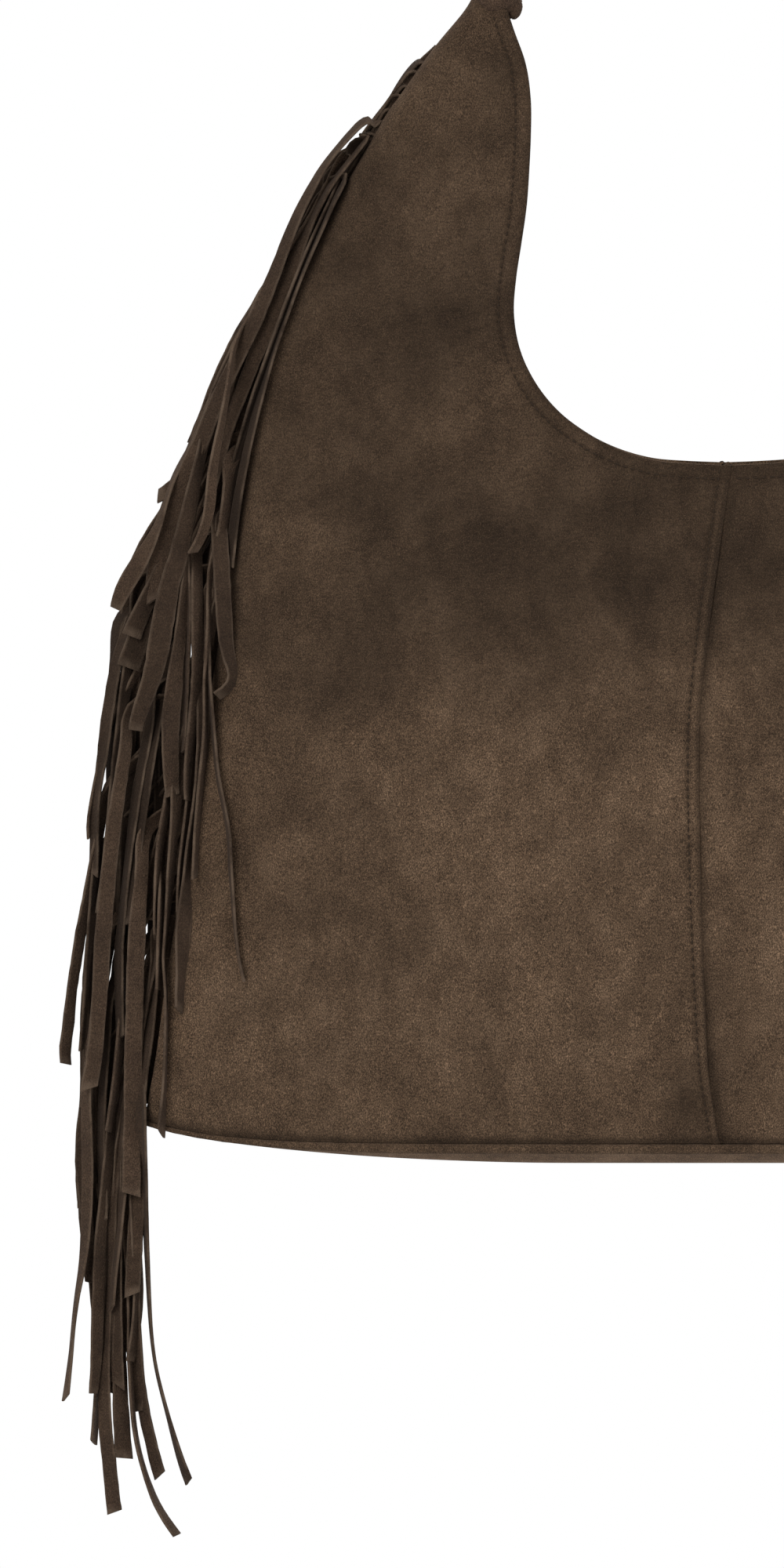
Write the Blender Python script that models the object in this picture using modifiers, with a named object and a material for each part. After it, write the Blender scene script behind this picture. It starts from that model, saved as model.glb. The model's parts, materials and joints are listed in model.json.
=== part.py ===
"""Fringed suede shoulder bag, hanging by its strap.

Metres, +Z up, X across the bag, front face towards -Y. The origin is the underside
of the strap's crest. Heights are written above the bottom seam and are moved down
to the origin by place().
"""

import math
import random

import bmesh
import bpy
from mathutils import Matrix, Vector

# Heights above the bottom seam
STRAP_CREST_HEIGHT = 0.595
HORN_TIP_HEIGHT = 0.403
MOUTH_HEIGHT = 0.2415
CORNER_HEIGHT = 0.008

# Half widths of the body at its bottom corner and at the outside of the horn tip
CORNER_HALF_WIDTH = 0.2086
HORN_TIP_HALF_WIDTH = 0.0910

# Side seam from corner to horn tip: share of the widening and share of the rise between them
SIDE_SHARES = (
    (1.0, 0.0),
    (0.8631, 0.2456),
    (0.7211, 0.5139),
    (0.6378, 0.6759),
    (0.4668, 0.7934),
    (0.2764, 0.8970),
    (0.0, 1.0),
)

# Mouth edge from the centre to the horn tip: half width as a share of the tip's half width,
# and share of the rise, which ends a little inside the tip
MOUTH_SHARES = (
    (0.0, 0.0),
    (0.3110, 0.0150),
    (0.5604, 0.0784),
    (0.7418, 0.1799),
    (0.8297, 0.3354),
    (0.7758, 0.6013),
    (0.7670, 0.8470),
    (0.8462, 1.0),
)
MOUTH_END_BELOW_TIP = 0.0020

# Centre seam: share of the mouth height, and how far the seam bows from the middle
SEAM_BOW_SHARES = (
    (0.0, -0.0022),
    (0.1408, -0.0070),
    (0.5797, -0.0103),
    (0.7702, -0.0062),
    (1.0, 0.0017),
)

# Half depth of the hanging body on its centre line, by share of the mouth height and then
# by share of the horn's height above it
BODY_DEPTH_SHARES = (
    (0.0, 0.0450),
    (0.2484, 0.0455),
    (0.6211, 0.0370),
    (1.0, 0.0210),
)
HORN_DEPTH_SHARES = (
    (0.3622, 0.0165),
    (0.7152, 0.0135),
    (1.0, 0.0100),
)
SIDE_ROLL_RADIUS = 0.006
LENS_FULLNESS = 0.75
SEAM_LAND = 0.001

# Thicknesses of the sheets and the clearance between sewn neighbours
SUEDE_THICKNESS = 0.0016
FACING_THICKNESS = 0.0008
LINING_THICKNESS = 0.0006
SEAM_CLEARANCE = 0.0003
SNAP_CLEARANCE = 0.0006
POCKET_CLEARANCE = 0.0009
LINING_LAP = 0.003

# Base
WELT_RADIUS = 0.0018
BASE_SAG = 0.0045
BASE_FLAT_HALF_LENGTH = 0.055
BASE_FLAT_HALF_WIDTH = 0.018

# Inside
FACING_WIDTH = 0.026
FACING_END_SHARE = 0.94
LINING_END_SHARE = 0.66
POCKET_WIDTH = 0.130
POCKET_HEIGHT = 0.095
POCKET_BASE_HEIGHT = 0.085
SNAP_DEPTH_BELOW_RIM = 0.0125
SNAP_RADIUS = 0.008
SNAP_THICKNESS = 0.0022
SNAP_PIN_RADIUS = 0.0032
SNAP_PIN_HEIGHT = 0.0020

# Fringe: header in the seam, thongs that leave it, bend down and hang in layers
THONG_COUNT = 58
THONG_WIDTH = 0.0056
THONG_THICKNESS = 0.0010
THONG_LENGTH = 0.160
THONG_LENGTH_SPREAD = 0.010
HEADER_THICKNESS = 0.0012
HEADER_INSIDE = 0.004
HEADER_OUTSIDE = 0.0012
HEADER_TOP_INSET = 0.012
HEADER_BOTTOM_INSET = 0.006
LAYER_COUNT = 8
LAYER_PITCH = 0.0017
BEND_REACH = 0.0056
BEND_DROP = 0.0035
HANG_DROP = 0.010
HANG_DISTANCE = 0.0079
FIRST_SECTION_DROP = 0.020
LAST_SECTION_ROOM = 0.012
FAN_SLOPE = 0.140
FRONT_LAYER_PUSH = 0.0085
FRONT_LAYER_SHIFT = 0.0100
FRONT_LAYER_START = 0.014
FRONT_LAYER_EASE = 0.030
FRINGE_SEED = 11
BUNDLE_SWAY = 0.0008
BUNDLE_SWAY_LENGTH = 0.130
BUNDLE_SWAY_EASE = 0.060
SECTION_SPACING = 0.046

# Where the thongs of the corner hang to: inwards of the corner and below it
CORNER_FALL = (
    (0.0001, 0.043),
    (0.0046, 0.093),
    (0.0066, 0.183),
)

# Strap
STRAP_WIDTH = 0.025
STRAP_THICKNESS = 0.0032
STRAP_NECK_WIDTH = 0.013
STRAP_TAPER_LENGTH = 0.050
STRAP_CROWN = 0.0012
STRAP_END_ABOVE_TIP = 0.0090

# Strap's leg from its knot to the crest: share of the knot's distance from the middle, and
# share of the rise
STRAP_LEG_SHARES = (
    (0.9524, 0.0),
    (0.8333, 0.2404),
    (0.6786, 0.5082),
    (0.5476, 0.7322),
    (0.3333, 0.9344),
)
KNOT_RADIUS = 0.0090
KNOT_BAND_RADIUS = 0.0042
KNOT_HEIGHT_ABOVE_TIP = 0.0070
KNOT_CORE_STRETCH = 1.25
KNOT_LOWER_WRAP_LIFT = -0.0035
KNOT_UPPER_WRAP_LIFT = 0.0045
KNOT_CROSSING_OFFSET = (0.003, 0.001)
KNOT_TRIM_DEPTH = 0.040

# Colours of the suede and its companions
SUEDE_COLOUR = (0.095, 0.060, 0.039, 1.0)
FRINGE_COLOUR = (0.062, 0.040, 0.027, 1.0)
LINING_COLOUR = (0.050, 0.036, 0.026, 1.0)
BRASS_COLOUR = (0.45, 0.33, 0.16, 1.0)


def clear_scene():
    """Remove every object of the open scene."""
    for scene_object in list(bpy.data.objects):
        bpy.data.objects.remove(scene_object, do_unlink=True)


def place(x, y, height):
    """World position of a point that is given by its height above the bottom seam."""
    return Vector((x, y, height - STRAP_CREST_HEIGHT))


def hermite(points, position):
    """Smooth value at a position, from (position, value) pairs in rising order."""
    position = min(max(position, points[0][0]), points[-1][0])
    last = len(points) - 1
    index = 0
    while index < last - 1 and position > points[index + 1][0]:
        index += 1
    slopes = []
    for knot in (index, index + 1):
        before = points[max(knot - 1, 0)]
        after = points[min(knot + 1, last)]
        slopes.append((after[1] - before[1]) / (after[0] - before[0]))
    (x0, y0), (x1, y1) = points[index], points[index + 1]
    span = x1 - x0
    t = (position - x0) / span
    return (
        (2 * t**3 - 3 * t**2 + 1) * y0
        + (t**3 - 2 * t**2 + t) * span * slopes[0]
        + (3 * t**2 - 2 * t**3) * y1
        + (t**3 - t**2) * span * slopes[1]
    )


class Path2D:
    """A smooth plane curve through points, read by its arc length."""

    SAMPLES_PER_SPAN = 24

    def __init__(self, points):
        self.samples = []
        last = len(points) - 1
        for index in range(last):
            p0 = Vector(points[max(index - 1, 0)])
            p1 = Vector(points[index])
            p2 = Vector(points[index + 1])
            p3 = Vector(points[min(index + 2, last)])
            for step in range(self.SAMPLES_PER_SPAN):
                t = step / self.SAMPLES_PER_SPAN
                self.samples.append(
                    0.5 * (
                        2 * p1
                        + (p2 - p0) * t
                        + (2 * p0 - 5 * p1 + 4 * p2 - p3) * t**2
                        + (3 * p1 - p0 - 3 * p2 + p3) * t**3
                    )
                )
        self.samples.append(Vector(points[last]))
        self.lengths = [0.0]
        for before, after in zip(self.samples, self.samples[1:]):
            self.lengths.append(self.lengths[-1] + (after - before).length)

    @property
    def length(self):
        return self.lengths[-1]

    def at(self, distance):
        """Point at an arc length."""
        distance = min(max(distance, 0.0), self.length)
        index = 0
        while index < len(self.lengths) - 2 and self.lengths[index + 1] < distance:
            index += 1
        span = self.lengths[index + 1] - self.lengths[index]
        return self.samples[index].lerp(self.samples[index + 1], (distance - self.lengths[index]) / span)

    def tangent(self, distance):
        """Direction of travel at an arc length."""
        reach = self.length / 400
        ahead = self.at(min(distance + reach, self.length))
        behind = self.at(max(distance - reach, 0.0))
        return (ahead - behind).normalized()


def side_outline():
    """Side seam from the bottom corner to the horn tip: half width and height."""
    widening = CORNER_HALF_WIDTH - HORN_TIP_HALF_WIDTH
    rise = HORN_TIP_HEIGHT - CORNER_HEIGHT
    return tuple(
        (HORN_TIP_HALF_WIDTH + width * widening, CORNER_HEIGHT + up * rise)
        for width, up in SIDE_SHARES
    )


def mouth_outline():
    """Mouth edge from the centre to the horn tip: half width and height."""
    rise = HORN_TIP_HEIGHT - MOUTH_END_BELOW_TIP - MOUTH_HEIGHT
    return tuple((width * HORN_TIP_HALF_WIDTH, MOUTH_HEIGHT + up * rise) for width, up in MOUTH_SHARES)


def half_depths():
    """Half depth of the body by height, from the bottom seam to the horn tip."""
    body = tuple((share * MOUTH_HEIGHT, depth) for share, depth in BODY_DEPTH_SHARES)
    horn_rise = HORN_TIP_HEIGHT - MOUTH_HEIGHT
    horn = tuple((MOUTH_HEIGHT + share * horn_rise, depth) for share, depth in HORN_DEPTH_SHARES)
    return body + horn


SIDE_OUTLINE = side_outline()
MOUTH_OUTLINE = mouth_outline()
HALF_DEPTHS = half_depths()
SEAM_BOW = tuple((share * MOUTH_HEIGHT, bow) for share, bow in SEAM_BOW_SHARES)
SIDE_PATH = Path2D(SIDE_OUTLINE)
MOUTH_PATH = Path2D(MOUTH_OUTLINE)
SIDE_BY_HEIGHT = tuple((point.y, point.x) for point in SIDE_PATH.samples)


def half_width(height):
    """Half width of the body at a height."""
    if height <= SIDE_BY_HEIGHT[0][0]:
        return SIDE_BY_HEIGHT[0][1]
    for (low, low_width), (high, high_width) in zip(SIDE_BY_HEIGHT, SIDE_BY_HEIGHT[1:]):
        if height <= high:
            return low_width + (high_width - low_width) * (height - low) / (high - low)
    return SIDE_BY_HEIGHT[-1][1]


def seam_gap():
    """Half of the room that the fringe header takes between the two side edges."""
    return HEADER_THICKNESS / 2 + SEAM_CLEARANCE


def body_depth(x, height, inset=0.0):
    """Distance of the body's surface from the middle plane, for a sheet set in by inset."""
    edge = half_width(height)
    start = seam_gap() + SEAM_LAND
    share = min(abs(x) / edge, 1.0)
    roll = SIDE_ROLL_RADIUS - inset
    reach = min(max((edge - inset - abs(x)) / roll, 0.0), 1.0)
    rolled = roll * math.sqrt(1.0 - (1.0 - reach) ** 2)
    bulge = hermite(HALF_DEPTHS, height) - start - SIDE_ROLL_RADIUS
    return start + rolled + bulge * (1.0 - share**2) ** LENS_FULLNESS


def bottom_edge(x):
    """Height of the body's bottom edge, which rises into the corners."""
    return CORNER_HEIGHT * min(abs(x) / CORNER_HALF_WIDTH, 1.0) ** 8


def lining_inset():
    """How far the lining lies inside the outer surface: behind the panel and the facing."""
    return SUEDE_THICKNESS + FACING_THICKNESS + 2 * SEAM_CLEARANCE


def seam_x(height):
    """Place of the centre seam at a height."""
    return hermite(SEAM_BOW, height)


def new_collection(name):
    collection = bpy.data.collections.new(name)
    bpy.context.scene.collection.children.link(collection)
    return collection


def suede_material(name, colour, roughness=0.95, metallic=0.0):
    material = bpy.data.materials.new(name)
    material.use_nodes = True
    shader = material.node_tree.nodes["Principled BSDF"]
    shader.inputs["Base Color"].default_value = colour
    shader.inputs["Roughness"].default_value = roughness
    shader.inputs["Metallic"].default_value = metallic
    return material


def add_mesh(bm, name, collection, material):
    """Turn a bmesh into a smooth shaded object of the collection."""
    bmesh.ops.recalc_face_normals(bm, faces=bm.faces)
    mesh = bpy.data.meshes.new(name)
    bm.to_mesh(mesh)
    bm.free()
    mesh.shade_smooth()
    mesh.set_sharp_from_angle(angle=math.radians(40))
    mesh.materials.append(material)
    scene_object = bpy.data.objects.new(name, mesh)
    collection.objects.link(scene_object)
    return scene_object


def sheet_object(grid, name, collection, material, thickness, outward, mirrored=False):
    """A sheet of cloth: an open grid of points with its thickness on the inner side."""
    bm = bmesh.new()
    rows = [[bm.verts.new(point) for point in row] for row in grid]
    for lower, upper in zip(rows, rows[1:]):
        for left in range(len(lower) - 1):
            bm.faces.new((lower[left], lower[left + 1], upper[left + 1], upper[left]))
    bm.normal_update()
    total = Vector()
    for face in bm.faces:
        total += face.normal * face.calc_area()
    if total.dot(outward) < 0:
        bmesh.ops.reverse_faces(bm, faces=bm.faces)
    mesh = bpy.data.meshes.new(name)
    bm.to_mesh(mesh)
    bm.free()
    mesh.shade_smooth()
    mesh.materials.append(material)
    sheet = bpy.data.objects.new(name, mesh)
    collection.objects.link(sheet)
    if mirrored:
        mirror = sheet.modifiers.new("both_halves", "MIRROR")
        mirror.merge_threshold = 0.0001
    solid = sheet.modifiers.new("sheet_thickness", "SOLIDIFY")
    solid.thickness = thickness
    solid.offset = -1.0
    solid.use_even_offset = True
    return sheet


def panel_rows(inner_points, side_points, inner_columns):
    """Rows of points from the inner edge of a panel out to its side seam."""
    roll_angles = (90, 60, 30, 0)
    grid = []
    for row_index, (inner, side) in enumerate(zip(inner_points, side_points)):
        direction = math.copysign(1.0, side.x - inner.x)
        roll_start = side.x - direction * min(SIDE_ROLL_RADIUS, 0.45 * abs(side.x - inner.x))
        spots = [inner.x + (roll_start - inner.x) * step / inner_columns for step in range(inner_columns)]
        spots += [
            side.x - (side.x - roll_start) * (1.0 - math.cos(math.radians(angle)))
            for angle in roll_angles
        ]
        bottom_share = max(0.0, 1.0 - row_index / 3) ** 2
        row = []
        for x in spots:
            share = (x - inner.x) / (side.x - inner.x)
            straight = inner.y + (side.y - inner.y) * share
            height = straight + (bottom_edge(x) - straight) * bottom_share
            row.append((x, height))
        grid.append(row)
    return grid


def panel_edges(seam_side):
    """Inner and side points of each row of an outer panel; seam_side is -1 left, 1 right."""
    seam_shares = (0.0, 0.1, 0.25, 0.45, 0.66, 0.86)
    mouth_shares = (0.0, 0.07, 0.14, 0.22, 0.31, 0.42, 0.56, 0.71, 0.86, 1.0)
    side_share_at_mouth = 0.45
    inner, side = [], []
    for share in seam_shares:
        height = MOUTH_HEIGHT * share
        inner.append(Vector((seam_x(height) + seam_side * SEAM_CLEARANCE / 2, height)))
        side.append(SIDE_PATH.at(SIDE_PATH.length * side_share_at_mouth * share))
    for share in mouth_shares:
        point = MOUTH_PATH.at(MOUTH_PATH.length * share)
        x = seam_side * point.x
        if share == 0.0:
            x = seam_x(MOUTH_HEIGHT) + seam_side * SEAM_CLEARANCE / 2
        inner.append(Vector((x, point.y)))
        reach = side_share_at_mouth + (1.0 - side_share_at_mouth) * share
        side.append(SIDE_PATH.at(SIDE_PATH.length * reach))
    side = [Vector((seam_side * point.x, point.y)) for point in side]
    return inner, side


def outer_panel(name, seam_side, face_side, collection, material):
    """One of the four suede panels; face_side is -1 for the front, 1 for the back."""
    inner, side = panel_edges(seam_side)
    grid = []
    for row in panel_rows(inner, side, 5):
        points = [place(x, face_side * body_depth(x, height), height) for x, height in row]
        edge_x, edge_height = row[-1]
        points.append(place(edge_x, face_side * seam_gap(), edge_height))
        grid.append(points)
    outward = Vector((seam_side * 0.3, face_side, 0.0))
    return sheet_object(grid, name, collection, material, SUEDE_THICKNESS, outward)


def facing_edge(distance):
    """Width of the mouth facing at a place along the mouth, narrower up the horn."""
    point = MOUTH_PATH.at(distance)
    room = half_width(point.y) - point.x - 2 * SIDE_ROLL_RADIUS
    return min(FACING_WIDTH, max(room, 0.2 * FACING_WIDTH))


def into_panel(distance):
    """Direction from the mouth edge into the panel."""
    tangent = MOUTH_PATH.tangent(distance)
    return Vector((tangent.y, -tangent.x)) if distance > 0.0 else Vector((0.0, -1.0))


def facing(name, face_side, collection, material):
    """The turned band inside the mouth."""
    stations = 16
    inset = SUEDE_THICKNESS + SEAM_CLEARANCE
    grid = []
    for step in range(stations + 1):
        distance = MOUTH_PATH.length * FACING_END_SHARE * step / stations
        edge = MOUTH_PATH.at(distance)
        reach = into_panel(distance) * facing_edge(distance)
        row = []
        for share in (0.0, 0.5, 1.0):
            spot = edge + reach * share
            x = 0.0 if step == 0 else spot.x
            row.append(place(x, face_side * (body_depth(x, spot.y) - inset), spot.y))
        grid.append(row)
    outward = Vector((0.0, face_side, 0.0))
    return sheet_object(grid, name, collection, material, FACING_THICKNESS, outward, mirrored=True)


def lining_edges():
    """Inner and side points of each row of the lining, up to the top of the facing's edge."""
    inset = lining_inset()
    top_height = MOUTH_HEIGHT - FACING_WIDTH + LINING_LAP
    base_height = WELT_RADIUS / 2
    inner, side = [], []
    side_share_at_facing = 0.40
    side_share_at_top = 0.80
    for share in (0.0, 0.15, 0.45, 0.75):
        inner.append(Vector((0.0, base_height + (top_height - base_height) * share)))
        side.append(SIDE_PATH.at(SIDE_PATH.length * side_share_at_facing * share))
    for share in (0.0, 0.25, 0.5, 0.75, 1.0):
        distance = MOUTH_PATH.length * LINING_END_SHARE * share
        reach = facing_edge(distance) - LINING_LAP
        spot = MOUTH_PATH.at(distance) + into_panel(distance) * reach
        inner.append(Vector((0.0 if share == 0.0 else spot.x, spot.y)))
        along = side_share_at_facing + (side_share_at_top - side_share_at_facing) * share
        side.append(SIDE_PATH.at(SIDE_PATH.length * along))
    side = [Vector((point.x - inset, max(point.y, CORNER_HEIGHT + base_height))) for point in side]
    return inner, side


def lining(name, face_side, collection, material):
    """The front or back of the lining, inside the panels and below the facing."""
    inset = lining_inset()
    inner, side = lining_edges()
    grid = []
    for row_index, row in enumerate(panel_rows(inner, side, 4)):
        points = []
        for x, height in row:
            lift = inner[0].y if row_index == 0 else 0.0
            points.append(place(x, face_side * body_depth(x, height + lift, inset), height + lift))
        grid.append(points)
    outward = Vector((0.0, face_side, 0.0))
    return sheet_object(grid, name, collection, material, LINING_THICKNESS, outward, mirrored=True)


def base_half_width(x):
    """Half depth of the bottom opening, at the middle of the panels' thickness."""
    return body_depth(x, bottom_edge(x)) - SUEDE_THICKNESS / 2


def welt_height(x):
    """Height of the welt's centre, just under the panels' bottom edge."""
    return bottom_edge(x) - SEAM_CLEARANCE - WELT_RADIUS


def welt(name, collection, material):
    """The covered cord round the bottom seam, one closed loop."""
    turns = 40
    end_x = CORNER_HALF_WIDTH - SUEDE_THICKNESS / 2
    curve = bpy.data.curves.new(name, "CURVE")
    curve.dimensions = "3D"
    spline = curve.splines.new("POLY")
    spline.points.add(turns - 1)
    for index, point in enumerate(spline.points):
        angle = math.tau * index / turns
        x = end_x * math.cos(angle)
        side = math.copysign(1.0, math.sin(angle))
        at_corner = index in (0, turns // 2)
        y = 0.0 if at_corner else side * base_half_width(x)
        point.co = (*place(x, y, welt_height(x)), 1.0)
    spline.use_cyclic_u = True
    curve.bevel_depth = WELT_RADIUS
    curve.bevel_resolution = 1
    curve.materials.append(material)
    loop = bpy.data.objects.new(name, curve)
    collection.objects.link(loop)
    return loop


def base_height_at(x, share):
    """Height of the base's underside: flat in its middle and sagging below the welt."""
    flat_share = BASE_FLAT_HALF_WIDTH / base_half_width(0.0)
    across = min(max((1.0 - abs(share)) / (1.0 - flat_share), 0.0), 1.0)
    along = min(max((CORNER_HALF_WIDTH - abs(x)) / (CORNER_HALF_WIDTH - BASE_FLAT_HALF_LENGTH), 0.0), 1.0)
    ease = across * across * (3 - 2 * across) * math.sin(along * math.pi / 2)
    return welt_height(x) - SUEDE_THICKNESS / 2 - BASE_SAG * ease


def base_sheet(name, collection, material, thickness, edge_room, lift, end_room):
    """A sheet across the bottom, from welt to welt."""
    columns = (0.0, 0.14, BASE_FLAT_HALF_LENGTH / CORNER_HALF_WIDTH, 0.4, 0.55, 0.7, 0.82, 0.91, 0.96, 1.0)
    end_x = CORNER_HALF_WIDTH - SUEDE_THICKNESS - end_room - edge_room
    flat_share = BASE_FLAT_HALF_WIDTH / base_half_width(0.0)
    shares = (-1.0, -0.75, -flat_share, 0.0, flat_share, 0.75, 1.0)
    grid = []
    for column in columns:
        x = min(column * CORNER_HALF_WIDTH, end_x)
        half = base_half_width(x + edge_room) - edge_room
        row = [place(x, share * half, base_height_at(x, share) + lift) for share in shares]
        grid.append(row)
    return sheet_object(grid, name, collection, material, thickness, Vector((0, 0, -1)), mirrored=True)


def pocket(name, collection, material):
    """A slip pocket sewn on the back lining."""
    inset = lining_inset() + LINING_THICKNESS + POCKET_CLEARANCE
    grid = []
    rows, columns = 5, 4
    for row_index in range(rows):
        height = POCKET_BASE_HEIGHT + POCKET_HEIGHT * row_index / (rows - 1)
        row = []
        for column in range(columns):
            x = POCKET_WIDTH / 2 * column / (columns - 1)
            row.append(place(x, body_depth(x, height) - inset, height))
        grid.append(row)
    return sheet_object(grid, name, collection, material, LINING_THICKNESS, Vector((0, 1, 0)), mirrored=True)


def snap_frame(face_side):
    """Matrix whose Z points from the facing into the bag, at the snap."""
    height = MOUTH_HEIGHT - SNAP_DEPTH_BELOW_RIM
    inset = SUEDE_THICKNESS + SEAM_CLEARANCE + FACING_THICKNESS + SNAP_CLEARANCE
    step = SNAP_RADIUS / 2
    low = place(0.0, face_side * body_depth(0.0, height - step), height - step)
    high = place(0.0, face_side * body_depth(0.0, height + step), height + step)
    up = (high - low).normalized()
    inward = up.cross(Vector((face_side, 0, 0))).normalized()
    if inward.y * face_side > 0:
        inward.negate()
    across = up.cross(inward)
    seat = (low + high) / 2 + inward * inset
    frame = Matrix((across, up, inward)).transposed().to_4x4()
    frame.translation = seat
    return frame


def turned_object(profile, name, collection, material, matrix):
    """A turned piece: a profile of (radius, height) swept round Z by a Screw modifier."""
    mesh = bpy.data.meshes.new(name)
    verts = [(radius, 0.0, height) for radius, height in profile]
    edges = [(index, index + 1) for index in range(len(profile) - 1)]
    mesh.from_pydata(verts, edges, [])
    mesh.materials.append(material)
    turned = bpy.data.objects.new(name, mesh)
    turned.matrix_world = matrix
    collection.objects.link(turned)
    screw = turned.modifiers.new("turn", "SCREW")
    screw.angle = math.tau
    screw.steps = 16
    screw.render_steps = 16
    screw.use_merge_vertices = True
    screw.merge_threshold = 0.00001
    return turned


def snap(name, face_side, is_stud, collection, material):
    """One half of the magnetic snap, a cap with a pin or with a well for it."""
    chamfer = SNAP_THICKNESS / 4
    top = SNAP_THICKNESS
    centre = top + SNAP_PIN_HEIGHT if is_stud else top - SNAP_PIN_HEIGHT / 2
    step_radius = SNAP_PIN_RADIUS if is_stud else SNAP_PIN_RADIUS + SEAM_CLEARANCE
    profile = (
        (0.0, centre),
        (step_radius, centre),
        (step_radius, top),
        (SNAP_RADIUS - chamfer, top),
        (SNAP_RADIUS, top - chamfer),
        (SNAP_RADIUS, 0.0),
        (0.0, 0.0),
    )
    return turned_object(profile, name, collection, material, snap_frame(face_side))


def fringe_path():
    """Side seam from the horn down, carried on below the corner where thongs hang free."""
    below_corner = tuple(
        (CORNER_HALF_WIDTH - inward, CORNER_HEIGHT - fall) for inward, fall in CORNER_FALL
    )
    return Path2D(tuple(reversed(SIDE_OUTLINE)) + below_corner)


def smooth_step(value):
    value = min(max(value, 0.0), 1.0)
    return value * value * (3 - 2 * value)


class Fringe:
    """One fringe: a header strip in the side seam with a row of thongs on it."""

    def __init__(self, side):
        self.side = side
        self.path = fringe_path()
        self.top = HEADER_TOP_INSET
        seam_length = SIDE_PATH.length
        self.pitch = (seam_length - HEADER_TOP_INSET - HEADER_BOTTOM_INSET) / THONG_COUNT

    def point(self, along, outward, y):
        """Position by length along the seam, distance out of it and depth."""
        seat = self.path.at(along)
        tangent = self.path.tangent(along)
        normal = Vector((-tangent.y, tangent.x))
        spot = seat + normal * outward
        return place(self.side * spot.x, y, spot.y)

    def ring(self, along, outward, y, turn):
        """Four corners of a thong's section; turn 0 lies along the seam, 1 across it."""
        half = THONG_WIDTH / 2
        angle = turn * math.pi / 2
        run = half * math.cos(angle)
        reach = half * math.sin(angle)
        corners = {}
        for edge in (-1, 1):
            for face in (-1, 1):
                depth = y + face * THONG_THICKNESS / 2
                corners[edge, face] = self.point(along + edge * run, outward - edge * reach, depth)
        return corners

    def hanging(self, layer, root, drop):
        """Distance out of the seam and depth of a hanging thong after a drop."""
        y = (layer - (LAYER_COUNT - 1) / 2) * LAYER_PITCH
        outward = HEADER_OUTSIDE + HANG_DISTANCE + FAN_SLOPE * drop
        pushed = smooth_step((drop - FRONT_LAYER_START) / FRONT_LAYER_EASE)
        if layer == 0:
            y -= FRONT_LAYER_PUSH * pushed
            outward -= FRONT_LAYER_SHIFT * pushed
        phase = (root + drop) / BUNDLE_SWAY_LENGTH * math.tau + layer * 2.1
        outward += BUNDLE_SWAY * math.sin(phase) * smooth_step(drop / BUNDLE_SWAY_EASE)
        return outward, y

    def thong_rings(self, index, length):
        """Sections of one thong, from just off the header to its cut end."""
        layer = (index * 5 + 2) % LAYER_COUNT
        root = self.top + self.pitch * (index + 0.5)
        _, y = self.hanging(layer, root, 0.0)
        rings = [self.ring(root + BEND_DROP, HEADER_OUTSIDE + BEND_REACH, y, 0.5)]
        first = math.ceil((root + FIRST_SECTION_DROP) / SECTION_SPACING)
        last = math.floor((root + length - LAST_SECTION_ROOM) / SECTION_SPACING)
        shared = [number * SECTION_SPACING - root for number in range(first, last + 1)]
        for drop in (HANG_DROP, *shared, length):
            outward, y = self.hanging(layer, root, drop)
            rings.append(self.ring(root + drop, outward, y, 1.0))
        return rings

    def build(self, name, collection, material):
        """Header as a row of blocks, each thong pulled out of a block's outer face."""
        draw = random.Random(FRINGE_SEED)
        bm = bmesh.new()
        inner, outer = -HEADER_INSIDE, HEADER_OUTSIDE
        half = HEADER_THICKNESS / 2
        stations = [self.top]
        for index in range(THONG_COUNT):
            root = self.top + self.pitch * (index + 0.5)
            stations += [root - THONG_WIDTH / 2, root + THONG_WIDTH / 2]
        stations.append(self.top + self.pitch * THONG_COUNT)
        loops = []
        for along in stations:
            corners = [(inner, -half), (outer, -half), (outer, half), (inner, half)]
            loops.append([bm.verts.new(self.point(along, out, y)) for out, y in corners])
        bm.faces.new(loops[0])
        bm.faces.new(loops[-1])
        roots = []
        for count, (near, far) in enumerate(zip(loops, loops[1:])):
            for edge in range(4):
                after = (edge + 1) % 4
                face = bm.faces.new((near[edge], near[after], far[after], far[edge]))
                if edge == 1 and count % 2 == 1:
                    roots.append((face, near, far))
        for index, (face, near, far) in enumerate(roots):
            roles = [(-1 if vert in near else 1, -1 if vert in (near[1], far[1]) else 1) for vert in face.verts]
            length = THONG_LENGTH + draw.uniform(-1, 1) * THONG_LENGTH_SPREAD
            for ring in self.thong_rings(index, length):
                face = bmesh.ops.extrude_discrete_faces(bm, faces=[face])["faces"][0]
                for vert, role in zip(face.verts, roles):
                    vert.co = ring[role]
        return add_mesh(bm, name, collection, material)


def knot_x():
    """Distance of a knot's centre from the middle: over the horn tip's centre."""
    return (MOUTH_OUTLINE[-1][0] + HORN_TIP_HALF_WIDTH) / 2


def strap_path():
    """Middle line of the strap in the XZ plane, from the left knot over to the right."""
    crest = (0.0, STRAP_CREST_HEIGHT + STRAP_THICKNESS / 2)
    end_height = HORN_TIP_HEIGHT + STRAP_END_ABOVE_TIP
    rise = STRAP_CREST_HEIGHT - end_height
    leg = [(share * knot_x(), end_height + up * rise) for share, up in STRAP_LEG_SHARES]
    left = [(-x, height) for x, height in leg]
    return Path2D(left + [crest] + leg[::-1])


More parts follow.
